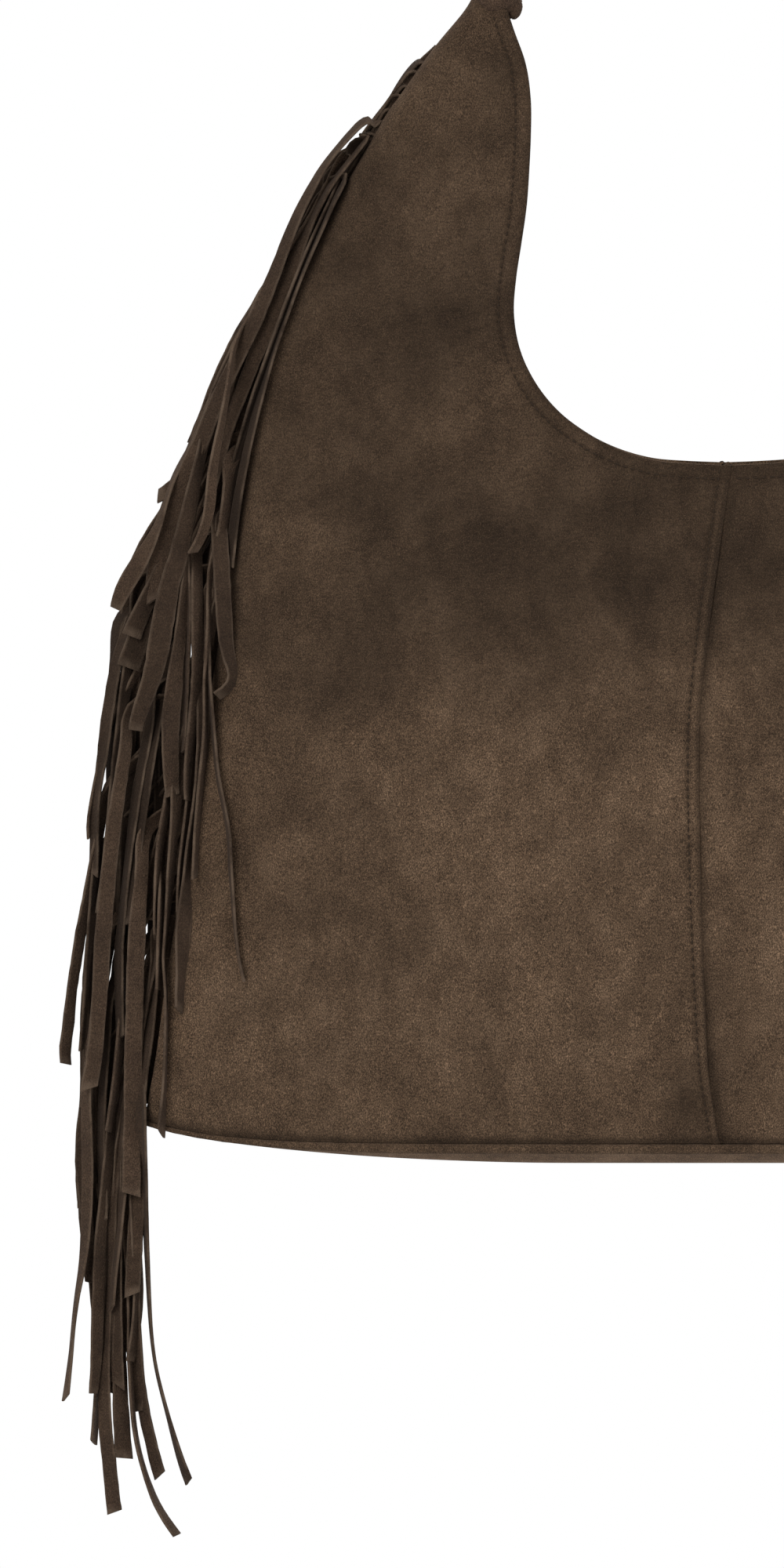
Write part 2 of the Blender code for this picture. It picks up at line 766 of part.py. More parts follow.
def strap_blank(collection, material):
    """The strap as a flat band with a slight crown, narrowed where it enters its knots."""
    path = strap_path()
    stations = 20
    grid = []
    for step in range(stations + 1):
        along = path.length * step / stations
        spot = path.at(along)
        tangent = path.tangent(along)
        normal = Vector((-tangent.y, tangent.x))
        near_end = min(along, path.length - along) / STRAP_TAPER_LENGTH
        width = STRAP_NECK_WIDTH + (STRAP_WIDTH - STRAP_NECK_WIDTH) * smooth_step(near_end)
        row = []
        for share in (-1.0, -0.5, 0.0, 0.5, 1.0):
            raised = spot + normal * (STRAP_THICKNESS / 2 - STRAP_CROWN * share**2)
            row.append(place(raised.x, share * width / 2, raised.y))
        grid.append(row)
    return sheet_object(grid, "strap", collection, material, STRAP_THICKNESS, Vector((0, 0, 1)))


def torus_piece(name, collection, matrix, major, minor):
    bpy.ops.mesh.primitive_torus_add(
        major_radius=major, minor_radius=minor, major_segments=14, minor_segments=6
    )
    piece = bpy.context.object
    return as_cutter(piece, name, collection, matrix)


def as_cutter(piece, name, collection, matrix):
    """Move a primitive to the helper collection and into place."""
    piece.name = name
    piece.matrix_world = matrix
    for owner in list(piece.users_collection):
        owner.objects.unlink(piece)
    collection.objects.link(piece)
    piece.hide_render = True
    piece.display_type = "WIRE"
    return piece


def knot_pieces(side, helpers):
    """Shapes of one knot: a core, two wraps, a crossing wrap and a tucked end."""
    centre = place(side * knot_x(), 0.0, HORN_TIP_HEIGHT + KNOT_HEIGHT_ABOVE_TIP)
    label = "left" if side < 0 else "right"
    bpy.ops.mesh.primitive_uv_sphere_add(segments=12, ring_count=7, radius=1.0)
    core_size = Matrix.Diagonal((KNOT_RADIUS, KNOT_RADIUS, KNOT_RADIUS * KNOT_CORE_STRETCH, 1.0))
    core = as_cutter(bpy.context.object, f"knot_core_{label}", helpers, Matrix.Translation(centre) @ core_size)
    wraps = ((KNOT_LOWER_WRAP_LIFT, -8, 0), (KNOT_UPPER_WRAP_LIFT, 12, 25))
    pieces = [core]
    for number, (lift, lean, turn) in enumerate(wraps):
        matrix = (
            Matrix.Translation(centre + Vector((0, 0, lift)))
            @ Matrix.Rotation(math.radians(turn), 4, "Z")
            @ Matrix.Rotation(math.radians(side * lean), 4, "Y")
        )
        pieces.append(torus_piece(f"knot_wrap_{label}_{number}", helpers, matrix, KNOT_RADIUS, KNOT_BAND_RADIUS))
    inward, up = KNOT_CROSSING_OFFSET
    crossing = (
        Matrix.Translation(centre + Vector((-side * inward, 0, up)))
        @ Matrix.Rotation(math.radians(side * 68), 4, "Y")
        @ Matrix.Rotation(math.radians(20), 4, "X")
    )
    pieces.append(
        torus_piece(f"knot_cross_{label}", helpers, crossing, KNOT_RADIUS * 0.85, KNOT_BAND_RADIUS)
    )
    return pieces


def strap(name, collection, helpers, material):
    """The strap with a knot at each end, one piece, cut flat over the horn tips."""
    band = strap_blank(collection, material)
    band.name = name
    pieces = knot_pieces(-1, helpers) + knot_pieces(1, helpers)
    for piece in pieces:
        union = band.modifiers.new(f"join_{piece.name}", "BOOLEAN")
        union.operation = "UNION"
        union.solver = "EXACT"
        union.object = piece
    bpy.ops.mesh.primitive_cube_add(size=1.0)
    trim_top = HORN_TIP_HEIGHT + SEAM_CLEARANCE
    centre = place(0.0, 0.0, trim_top - KNOT_TRIM_DEPTH / 2)
    size = Matrix.Diagonal((2 * CORNER_HALF_WIDTH, STRAP_WIDTH * 2, KNOT_TRIM_DEPTH, 1.0))
    block = as_cutter(bpy.context.object, "knot_trim", helpers, Matrix.Translation(centre) @ size)
    cut = band.modifiers.new("trim_knots", "BOOLEAN")
    cut.operation = "DIFFERENCE"
    cut.solver = "EXACT"
    cut.object = block
    return band


def build_bag():
    clear_scene()
    bag = new_collection("fringed_suede_bag")
    helpers = new_collection("helpers")
    suede = suede_material("suede", SUEDE_COLOUR)
    fringe_suede = suede_material("fringe_suede", FRINGE_COLOUR)
    lining_cloth = suede_material("lining_cloth", LINING_COLOUR, roughness=0.7)
    brass = suede_material("brass", BRASS_COLOUR, roughness=0.35, metallic=1.0)
    outer_panel("front_left_panel", -1, -1, bag, suede)
    outer_panel("front_right_panel", 1, -1, bag, suede)
    outer_panel("back_left_panel", -1, 1, bag, suede)
    outer_panel("back_right_panel", 1, 1, bag, suede)
    edge_room = WELT_RADIUS + SEAM_CLEARANCE
    base_sheet("base_panel", bag, suede, SUEDE_THICKNESS, edge_room, 0.0, WELT_RADIUS)
    lining_lift = SUEDE_THICKNESS + SEAM_CLEARANCE
    lining_room = lining_inset() + LINING_THICKNESS - SUEDE_THICKNESS / 2 + SEAM_CLEARANCE
    base_sheet("base_lining", bag, lining_cloth, LINING_THICKNESS, lining_room, lining_lift, 4 * WELT_RADIUS)
    welt("base_welt", bag, suede)
    facing("front_facing", -1, bag, suede)
    facing("back_facing", 1, bag, suede)
    lining("front_lining", -1, bag, lining_cloth)
    lining("back_lining", 1, bag, lining_cloth)
    pocket("inner_pocket", bag, lining_cloth)
    snap("snap_socket", -1, False, bag, brass)
    snap("snap_stud", 1, True, bag, brass)
    Fringe(-1).build("left_fringe", bag, fringe_suede)
    Fringe(1).build("right_fringe", bag, fringe_suede)
    strap("strap", bag, helpers, suede)


build_bag()
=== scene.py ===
"""Looks of the fringed suede shoulder bag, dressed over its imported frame.

Metres, +Z up, front face towards -Y, origin under the strap's crest. Heights are
written above the bottom seam, as in the part's source, and moved down by place().
"""

import json
import math
import random

import bpy
import numpy as np
from mathutils import Matrix, Vector, noise

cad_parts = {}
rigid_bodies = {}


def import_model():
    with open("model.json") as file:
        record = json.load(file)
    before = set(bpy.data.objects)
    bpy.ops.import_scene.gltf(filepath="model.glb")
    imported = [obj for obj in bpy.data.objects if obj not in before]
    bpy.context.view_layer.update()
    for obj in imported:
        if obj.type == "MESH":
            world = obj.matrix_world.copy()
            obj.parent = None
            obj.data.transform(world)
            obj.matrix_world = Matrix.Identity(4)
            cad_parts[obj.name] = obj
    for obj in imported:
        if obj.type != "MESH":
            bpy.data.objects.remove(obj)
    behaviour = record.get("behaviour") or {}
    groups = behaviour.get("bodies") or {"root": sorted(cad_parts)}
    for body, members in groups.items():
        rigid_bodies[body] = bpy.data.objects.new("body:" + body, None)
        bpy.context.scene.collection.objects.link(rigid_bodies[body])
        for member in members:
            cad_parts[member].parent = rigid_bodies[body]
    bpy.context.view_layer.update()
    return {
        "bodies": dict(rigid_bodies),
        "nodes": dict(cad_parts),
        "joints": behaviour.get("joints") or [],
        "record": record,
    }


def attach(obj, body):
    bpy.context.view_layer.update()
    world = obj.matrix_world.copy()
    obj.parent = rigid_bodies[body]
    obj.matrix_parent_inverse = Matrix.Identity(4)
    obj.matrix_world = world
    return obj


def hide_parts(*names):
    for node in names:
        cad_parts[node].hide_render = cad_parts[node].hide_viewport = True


# Heights above the bottom seam and outlines, as in the part's source, but with the horn's
# edge nearer to the photograph's and its tip carried up into the knot
STRAP_CREST_HEIGHT = 0.595
HORN_TIP_HEIGHT = 0.403
TIED_END_HEIGHT = 0.410
MOUTH_HEIGHT = 0.2415
CORNER_HEIGHT = 0.008
CORNER_HALF_WIDTH = 0.2086
HORN_TIP_HALF_WIDTH = 0.0935
SIDE_OUTLINE = (
    (CORNER_HALF_WIDTH, CORNER_HEIGHT), (0.1925, 0.105), (0.1758, 0.211), (0.1660, 0.275),
    (0.1459, 0.3214), (0.1235, 0.3623), (0.1160, 0.3735), (0.1040, 0.3903),
    (HORN_TIP_HALF_WIDTH, HORN_TIP_HEIGHT), (0.0893, TIED_END_HEIGHT),
)
MOUTH_OUTLINE = (
    (0.0, MOUTH_HEIGHT), (0.0283, 0.2439), (0.0510, 0.2540), (0.0675, 0.2702), (0.0755, 0.2950),
    (0.0706, 0.3374), (0.0698, 0.3766), (0.0770, 0.4010), (0.0795, TIED_END_HEIGHT - 0.001),
)
SEAM_BOW = (
    (0.0, -0.0022), (0.034, -0.0070), (0.140, -0.0103), (0.186, -0.0062), (MOUTH_HEIGHT, 0.0017),
)
HALF_DEPTHS = (
    (0.0, 0.0450), (0.060, 0.0455), (0.150, 0.0370), (MOUTH_HEIGHT, 0.0210), (0.300, 0.0165),
    (0.357, 0.0135), (HORN_TIP_HEIGHT, 0.0100), (TIED_END_HEIGHT, 0.0080),
)
SIDE_ROLL_RADIUS = 0.006
LENS_FULLNESS = 0.75
SEAM_LAND = 0.001
SUEDE_THICKNESS = 0.0016
FACING_THICKNESS = 0.0008
LINING_THICKNESS = 0.0006
SEAM_CLEARANCE = 0.0003
HEADER_THICKNESS = 0.0012
SEAM_GAP = HEADER_THICKNESS / 2 + SEAM_CLEARANCE
LINING_INSET = SUEDE_THICKNESS + FACING_THICKNESS + 2 * SEAM_CLEARANCE
WELT_RADIUS = 0.0018
BASE_SAG = 0.0047
BASE_FLAT_HALF_LENGTH = 0.055
BASE_FLAT_HALF_WIDTH = 0.018
FACING_WIDTH = 0.026
LINING_LAP = 0.003
POCKET_SIZE = (0.130, 0.095)
POCKET_BASE_HEIGHT = 0.085
POCKET_CLEARANCE = 0.0009
SIDE_SHARE_AT_MOUTH = 0.45

# Sewing details
ROLLED_EDGE_INSET = 0.00085
HEM_WIDTH = 0.0048
LAP_WIDTH = 0.0037
STITCH_PITCH = 0.0029
THREAD_RADIUS = 0.00030
BACK_RIM_LIFT = 0.0017

# Camera: the photograph's frame, and the pixel of the bag's middle at its bottom seam
IMAGE_HEIGHT = 0.56
CAMERA_DISTANCE = 6.0
CAMERA_CENTRE = (-0.119, -0.4676)
PICTURE_ROWS = 2000
PICTURE_SCALE = IMAGE_HEIGHT / PICTURE_ROWS
PICTURE_SEAM_COLUMN = 925
PICTURE_SEAM_ROW = 1455

MILLIMETRE = 0.001
SEAM_HALF_GAP = 0.00002
SNAP_DROP = 0.0125
REACH_MARGIN = 0.0030


def place(x, y, height):
    """World positions of points that are given by their height above the bottom seam."""
    x, y, height = np.broadcast_arrays(
        np.asarray(x, float), np.asarray(y, float), np.asarray(height, float)
    )
    return np.stack([x, y, height - STRAP_CREST_HEIGHT], axis=-1)


def smooth_step(value):
    value = np.clip(value, 0.0, 1.0)
    return value * value * (3 - 2 * value)


def bell(distance, width):
    return np.exp(-((distance / width) ** 2))


def arc_lengths(points):
    """Length along a line of points, at each of them."""
    steps = np.linalg.norm(np.diff(points, axis=0), axis=1)
    return np.concatenate([[0.0], np.cumsum(steps)])


def read_along(values, lengths, distance):
    """Values that are given at lengths, read at other distances."""
    return np.stack([np.interp(distance, lengths, axis) for axis in values.T], axis=-1)


def soften(values, times=1):
    """Evens out a row of values or points in place, and leaves both ends."""
    for _ in range(times):
        values[1:-1] = (values[:-2] + 2 * values[1:-1] + values[2:]) / 4


def hermite_table(points, count=400):
    """Dense samples of the smooth curve through (position, value) pairs."""
    positions, values = np.array(points).T
    slopes = np.empty(len(points))
    for knot in range(len(points)):
        before = max(knot - 1, 0)
        after = min(knot + 1, len(points) - 1)
        slopes[knot] = (values[after] - values[before]) / (positions[after] - positions[before])
    spots = np.linspace(positions[0], positions[-1], count)
    index = np.clip(np.searchsorted(positions, spots) - 1, 0, len(points) - 2)
    span = positions[index + 1] - positions[index]
    t = (spots - positions[index]) / span
    table = (
        (2 * t**3 - 3 * t**2 + 1) * values[index]
        + (t**3 - 2 * t**2 + t) * span * slopes[index]
        + (3 * t**2 - 2 * t**3) * values[index + 1]
        + (t**3 - t**2) * span * slopes[index + 1]
    )
    return spots, table


DEPTH_TABLE = hermite_table(HALF_DEPTHS)
SEAM_TABLE = hermite_table(SEAM_BOW)


class SmoothPath:
    """A smooth curve through points in the plane or in space, read by its arc length."""

    def __init__(self, points, per_span=24):
        points = np.array(points, float)
        padded = np.vstack([points[0], points, points[-1]])
        t = (np.arange(per_span) / per_span)[:, None]
        samples = []
        for index in range(len(points) - 1):
            p0, p1, p2, p3 = padded[index : index + 4]
            rounding = (2 * p0 - 5 * p1 + 4 * p2 - p3) * t**2 + (3 * p1 - p0 - 3 * p2 + p3) * t**3
            samples.append(p1 + 0.5 * ((p2 - p0) * t + rounding))
        self.points = np.vstack(samples + [points[-1:]])
        self.lengths = arc_lengths(self.points)
        self.length = self.lengths[-1]

    def at(self, distance):
        """Points at arc lengths."""
        return read_along(self.points, self.lengths, distance)

    def tangent(self, distance):
        """Directions of travel at arc lengths."""
        reach = self.length / 400
        ahead = self.at(np.minimum(distance + reach, self.length))
        behind = self.at(np.maximum(distance - reach, 0.0))
        step = ahead - behind
        return step / np.linalg.norm(step, axis=-1, keepdims=True)

    def inward(self, distance):
        """Directions square to the mouth's line, away from the opening."""
        heading = self.tangent(distance)
        return np.stack([heading[:, 1], -heading[:, 0]], axis=-1)

    def moved_inward(self, inset, count=18):
        """The same curve, set in from the opening's edge."""
        distance = np.linspace(0.0, self.length, count)
        return SmoothPath(self.at(distance) + inset * self.inward(distance))


SIDE_PATH = SmoothPath(SIDE_OUTLINE)
MOUTH_PATH = SmoothPath(MOUTH_OUTLINE).moved_inward(ROLLED_EDGE_INSET)


def half_width(height):
    return np.interp(height, SIDE_PATH.points[:, 1], SIDE_PATH.points[:, 0])


def seam_x(height):
    return np.interp(height, *SEAM_TABLE)


def bottom_edge(x):
    return CORNER_HEIGHT * np.minimum(np.abs(x) / CORNER_HALF_WIDTH, 1.0) ** 8


def body_depth(x, height, inset=0.0):
    """Distance of the body's plain surface from the middle plane, for a sheet set in by inset."""
    edge = half_width(height)
    start = SEAM_GAP + SEAM_LAND
    share = np.minimum(np.abs(x) / edge, 1.0)
    roll = SIDE_ROLL_RADIUS - inset
    reach = np.clip((edge - inset - np.abs(x)) / roll, 0.0, 1.0)
    rolled = roll * np.sqrt(1.0 - (1.0 - reach) ** 2)
    bulge = np.interp(height, *DEPTH_TABLE) - start - SIDE_ROLL_RADIUS
    return start + rolled + bulge * (1.0 - share**2) ** LENS_FULLNESS


def mouth_distance(x, height):
    """Distance from the mouth edge, in the plane of the front."""
    x, height = np.broadcast_arrays(np.abs(x), height)
    spots = np.stack([x.ravel(), height.ravel()], axis=-1)
    best = np.full(len(spots), np.inf)
    for edge_point in MOUTH_PATH.points[::2]:
        best = np.minimum(best, np.hypot(spots[:, 0] - edge_point[0], spots[:, 1] - edge_point[1]))
    return best.reshape(x.shape)


def waves(x, height, wavelength, seed):
    """Smooth noise between about -1 and 1 over the face of the bag."""
    x, height = np.broadcast_arrays(x, height)
    spots = zip(x.ravel() / wavelength, height.ravel() / wavelength)
    values = [noise.noise(Vector((across, seed, up))) for across, up in spots]
    return np.array(values).reshape(x.shape)


def from_edges(x, height, side):
    """Distance from the mouth's rim, distance from the centre seam and 1 where the seam runs."""
    on_seam = smooth_step((MOUTH_HEIGHT + 0.004 - height) / 0.006)
    return mouth_distance(x, height), side * (x - seam_x(height)), on_seam


def relief(x, height, side, face):
    """How far the suede of a panel stands off the plain surface: hem, lap, groove and slack."""
    rim, from_seam, on_seam = from_edges(x, height, side)
    hem = 0.00035 * (1.0 - smooth_step((rim - HEM_WIDTH) / 0.0009))
    hem_line = -0.00045 * bell(rim - HEM_WIDTH, 0.0007)
    groove = -0.0010 * bell(from_seam, 0.0010 if side < 0 else 0.0018) * on_seam
    lap = np.zeros_like(groove)
    if side < 0:
        lap = 0.00055 * (1.0 - smooth_step((from_seam - LAP_WIDTH) / 0.0009)) * on_seam
        lap = lap - 0.00045 * bell(from_seam - LAP_WIDTH, 0.0007) * on_seam
        gathered = np.cos(height * math.tau / STITCH_PITCH) + 1.6 * waves(x, height, 0.009, 6.0)
        lap = lap + 0.00011 * gathered * bell(from_seam - LAP_WIDTH * 0.6, LAP_WIDTH) * on_seam
    above_welt = height - bottom_edge(x)
    sewn = smooth_step((half_width(height) - np.abs(x)) / 0.020) * smooth_step(above_welt / 0.018)
    slack = 0.0011 * waves(x, height, 0.060, 3.1 * face + side)
    slack = slack + 0.00035 * waves(x, height, 0.017, 7.7 * face + side)
    tucked = -0.0007 * bell(above_welt, 0.0028)
    pucker = 0.00012 * np.cos(x * math.tau / 0.0052) * bell(above_welt - 0.002, 0.004)
    return hem + hem_line + groove + lap + slack * sewn + tucked + pucker


# Soft patches of the nap: place to the right of the middle, height and size in millimetres, and
# strength, where more than 0 is lighter
PATCHES = (
    (-158, 213, 34, 0.60), (-136, 167, 16, -0.40), (-80, 379, 13, -0.40), (-91, 332, 11, -0.32),
    (-82, 270, 13, 0.40), (-45, 245, 11, 0.28), (-141, 228, 14, -0.25), (-108, 228, 12, -0.25),
    (-63, 222, 10, -0.25), (-75, 186, 22, 0.28), (-140, 188, 18, 0.18), (-18, 196, 15, 0.25),
    (-18, 150, 15, -0.24), (-136, 113, 26, -0.28), (-130, 40, 22, -0.22), (-20, 38, 10, 0.28),
    (12, 222, 16, 0.25), (-104, 252, 30, 0.18), (-21, 228, 42, -0.20), (-14, 15, 9, -0.75),
    (-108, 74, 11, -0.28), (-60, 128, 26, 0.06), (-152, 60, 22, -0.14), (146, 190, 20, -0.30),
    (120, 240, 30, 0.22), (60, 95, 30, 0.14), (92, 50, 14, -0.24), (84, 350, 13, -0.30),
    (-92, 388, 16, 0.22),
)


def body_tone(x, height, side, face):
    """Darker above, lighter below and soft patches, with painted shade in creases and seams and painted
    highlights on raised edges.
    """
    turned = -face * x
    shift = 0.022 * waves(x, height, 0.070, 2.2 * face)
    upper = smooth_step((height + shift - 0.125) / 0.085)
    horn = smooth_step((height + shift - 0.290) / 0.080)
    tone = -0.92 * upper + 0.40 * horn
    tone = tone + 0.30 * waves(x, height, 0.045, 5.3 * face) + 0.26 * waves(x, height, 0.019, 9.1 * face)
    wobble = 1.0 + 0.5 * waves(x, height, 0.020, 4.4)
    for patch_x, patch_height, size, strength in PATCHES:
        distance = np.hypot(turned - patch_x * MILLIMETRE, height - patch_height * MILLIMETRE)
        tone = tone + strength * bell(distance * wobble, size * MILLIMETRE)
    rim, from_seam, on_seam = from_edges(x, height, side)
    # Painted shade along the sunk stitch line of the hem and at the mouth's rolled edge.
    tone = tone - 0.20 * bell(rim - HEM_WIDTH, 0.0010) - 0.30 * bell(rim, 0.0010)
    # Painted shade in the groove of the centre seam.
    tone = tone - 0.60 * bell(from_seam, 0.0012 if side < 0 else 0.0026) * on_seam
    if side < 0:
        # Painted highlight on the raised lap, and painted shade in the sunk line at its edge.
        tone = tone + 0.16 * bell(from_seam - 0.45 * LAP_WIDTH, 0.0011) * on_seam
        tone = tone - 0.34 * bell(from_seam - LAP_WIDTH, 0.0011) * on_seam
    # Painted shade in the crease above the welt at the bottom seam.
    tone = tone - 0.95 * bell(height - bottom_edge(x), 0.0021)
    # Painted highlight along the rolled side edge.
    edge = half_width(height) - np.abs(x)
    return tone + 0.14 * bell(edge, 0.0030)


def settle(points, face):
    """The back rim hangs a little higher than the front one at its middle."""
    if face > 0:
        x = points[..., 0]
        height = points[..., 2] + STRAP_CREST_HEIGHT
        points = points.copy()
        near_rim = smooth_step((height - 0.150) / 0.080)
        points[..., 2] += BACK_RIM_LIFT * bell(x, 0.062) * near_rim
    return points


class MeshParts:
    """Collects vertices, faces and two shading attributes, then makes one mesh object."""

    def __init__(self):
        self.verts = []
        self.faces = []
        self.tone = []
        self.rim = []
        self.count = 0

    def add(self, verts, faces, tone=0.0, rim=None):
        verts = np.asarray(verts, float).reshape(-1, 3)
        self.verts.append(verts)
        self.faces += [[index + self.count for index in face] for face in faces]
        self.tone.append(np.broadcast_to(np.asarray(tone, float), (len(verts),)))
        self.rim.append(np.zeros(len(verts)) if rim is None else np.asarray(rim, float).ravel())
        self.count += len(verts)

    def build(self, name, material, slot, *replaced, sharp=None):
        """The mesh object of all that was collected, which replaces the nodes named."""
        mesh = bpy.data.meshes.new(name)
        mesh.from_pydata(np.vstack(self.verts).tolist(), [], self.faces)
        for label, values in (("tone", self.tone), ("rim", self.rim)):
            layer = mesh.attributes.new(label, "FLOAT", "POINT")
            layer.data.foreach_set("value", np.concatenate(values).astype(np.float32))
        mesh.materials.append(material)
        mesh.shade_smooth()
        if sharp is not None:
            mesh.set_sharp_from_angle(angle=math.radians(sharp))
        mesh.validate()
        piece = bpy.data.objects.new(name, mesh)
        bpy.context.scene.collection.objects.link(piece)
        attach(piece, "root")
        if replaced:
            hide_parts(*replaced)
        return piece


def unit(vectors):
    return vectors / np.maximum(np.linalg.norm(vectors, axis=-1, keepdims=True), 1e-12)


def add_sheet(parts, outer, thickness, outward, rim_steps=3, tone=0.0):
    """A sheet with thickness on its inner side and round edges, from a grid of outer points."""
    rows, columns = outer.shape[:2]
    along_rows = np.gradient(outer, axis=0)
    along_columns = np.gradient(outer, axis=1)
    normals = unit(np.cross(along_columns, along_rows))
    flipped = float((normals.reshape(-1, 3) @ np.asarray(outward, float)).sum()) < 0
    if flipped:
        normals = -normals
    inner = outer - normals * thickness
    loop = [(0, c) for c in range(columns)]
    loop += [(r, columns - 1) for r in range(1, rows)]
    loop += [(rows - 1, c) for c in range(columns - 2, -1, -1)]
    loop += [(r, 0) for r in range(rows - 2, 0, -1)]
    ring_rows = np.array([r for r, c in loop])
    ring_columns = np.array([c for r, c in loop])
    outgoing = np.zeros((len(loop), 3))
    for slope, spots, count in ((along_rows, ring_rows, rows), (along_columns, ring_columns, columns)):
        way = (spots == count - 1) * 1.0 - (spots == 0)
        outgoing += unit(slope[ring_rows, ring_columns]) * way[:, None]
    ring_normals = normals[ring_rows, ring_columns]
    outgoing -= ring_normals * (outgoing * ring_normals).sum(axis=1, keepdims=True)
    outgoing = unit(outgoing)
    middle = (outer[ring_rows, ring_columns] + inner[ring_rows, ring_columns]) / 2
    rings = []
    for step in range(1, rim_steps + 1):
        angle = math.pi * step / (rim_steps + 1)
        lift = ring_normals * math.cos(angle) + outgoing * math.sin(angle)
        rings.append(middle + lift * thickness / 2)
    verts = np.vstack([outer.reshape(-1, 3), inner.reshape(-1, 3)] + rings)
    total = rows * columns
    size = len(loop)
    faces = []
    for r in range(rows - 1):
        for c in range(columns - 1):
            a = r * columns + c
            face = [a, a + 1, a + columns + 1, a + columns]
            faces.append(face)
            faces.append([total + index for index in reversed(face)])
    levels = [[r * columns + c for r, c in loop]]
    for step in range(rim_steps):
        levels.append([2 * total + step * size + index for index in range(size)])
    levels.append([total + r * columns + c for r, c in loop])
    for upper, lower in zip(levels, levels[1:]):
        for index in range(size):
            after = (index + 1) % size
            faces.append([upper[index], lower[index], lower[after], upper[after]])
    if flipped:
        faces = [list(reversed(face)) for face in faces]
    rim = np.concatenate([np.zeros(2 * total), np.ones(rim_steps * size)])
    tone = np.broadcast_to(np.asarray(tone, float), (rows, columns))
    tone = np.concatenate([tone.ravel(), tone.ravel()] + [tone[ring_rows, ring_columns]] * rim_steps)
    parts.add(verts, faces, tone, rim)


def add_tube(parts, rings, closed=False, tone=0.0, rim=None):
    """A tube through rings of points, all of the same count; open tubes get end caps."""
    rings = np.asarray(rings)
    count, around = rings.shape[:2]
    faces = []
    for step in range(count if closed else count - 1):
        after = (step + 1) % count
        for index in range(around):
            beside = (index + 1) % around
            low, high = step * around, after * around
            faces.append([low + index, low + beside, high + beside, high + index])
    if not closed:
        faces.append(list(reversed(range(around))))
        faces.append([(count - 1) * around + index for index in range(around)])
    parts.add(rings, faces, tone, rim)


def add_stitches(parts, line, normals):
    """Short bowed threads along a line on a surface, each sunk at both ends."""
    lengths = arc_lengths(line)
    for index in range(int(lengths[-1] / STITCH_PITCH)):
        rings = []
        for share in np.linspace(0.0, 1.0, 6):
            distance = (index + 0.14 + 0.72 * share) * STITCH_PITCH
            spot = read_along(line, lengths, distance)
            normal = unit(read_along(normals, lengths, distance))
            behind, ahead = (read_along(line, lengths, distance + step) for step in (-0.0004, 0.0004))
            across = np.cross(normal, unit(ahead - behind))
            arch = math.sin(math.pi * share)
            lift = THREAD_RADIUS * (1.9 * arch - 0.9)
            swell = THREAD_RADIUS * (0.55 + 0.45 * arch)
            angles = math.tau * np.arange(6)[:, None] / 6
            rings.append(spot + normal * (lift + swell * np.sin(angles)) + across * swell * np.cos(angles))
        add_tube(parts, rings)


# Materials


class Nodes:
    """Short names for building a node tree."""

    def __init__(self, material):
        material.use_nodes = True
        self.tree = material.node_tree
        self.shader = self.tree.nodes["Principled BSDF"]
        coordinates = self.tree.nodes.new("ShaderNodeTexCoord")
        self.position = coordinates.outputs["Object"]

    def link(self, source, target):
        self.tree.links.new(source, target)

    def mapped(self, scale, turn=(0.0, 0.0, 0.0)):
        """The object's coordinates, turned and stretched."""
        mapping = self.tree.nodes.new("ShaderNodeMapping")
        mapping.inputs["Scale"].default_value = scale
        mapping.inputs["Rotation"].default_value = turn
        self.link(self.position, mapping.inputs["Vector"])
        return mapping.outputs["Vector"]

    def noise(self, scale, detail=2.0, roughness=0.5, vector=None, distortion=0.0):
        texture = self.tree.nodes.new("ShaderNodeTexNoise")
        texture.inputs["Scale"].default_value = scale
        texture.inputs["Detail"].default_value = detail
        texture.inputs["Roughness"].default_value = roughness
        texture.inputs["Distortion"].default_value = distortion
        self.link(vector or self.position, texture.inputs["Vector"])
        return texture.outputs["Fac"]

    def remap(self, value, low, high, new_low=0.0, new_high=1.0):
        node = self.tree.nodes.new("ShaderNodeMapRange")
        node.inputs["From Min"].default_value = low
        node.inputs["From Max"].default_value = high
        node.inputs["To Min"].default_value = new_low
        node.inputs["To Max"].default_value = new_high
        self.link(value, node.inputs["Value"])
        return node.outputs["Result"]

    def math(self, operation, first, second):
        node = self.tree.nodes.new("ShaderNodeMath")
        node.operation = operation
        for socket, value in zip(node.inputs, (first, second)):
            if isinstance(value, (int, float)):
                socket.default_value = value
            else:
                self.link(value, socket)
        return node.outputs["Value"]

    def mix(self, factor, first, second, blend="MIX"):
        node = self.tree.nodes.new("ShaderNodeMix")
        node.data_type = "RGBA"
        node.blend_type = blend
        for name, value in (("Factor", factor), ("A", first), ("B", second)):
            named = [item for item in node.inputs if item.name == name]
            socket = next(item for item in named if name == "Factor" or item.type == "RGBA")
            if isinstance(value, (int, float, tuple)):
                socket.default_value = value
            else:
                self.link(value, socket)
        return next(item for item in node.outputs if item.type == "RGBA")

    def attribute(self, name):
        node = self.tree.nodes.new("ShaderNodeAttribute")
        node.attribute_name = name
        return node.outputs["Fac"]

    def bump(self, height, distance, strength=1.0, base=None):
        node = self.tree.nodes.new("ShaderNodeBump")
        node.inputs["Distance"].default_value = distance
        node.inputs["Strength"].default_value = strength
        self.link(height, node.inputs["Height"])
        if base is not None:
            self.link(base, node.inputs["Normal"])
        return node.outputs["Normal"]

    def finish(self, colour, roughness, normal):
        self.link(colour, self.shader.inputs["Base Color"])
        self.link(roughness, self.shader.inputs["Roughness"])
        self.link(normal, self.shader.inputs["Normal"])


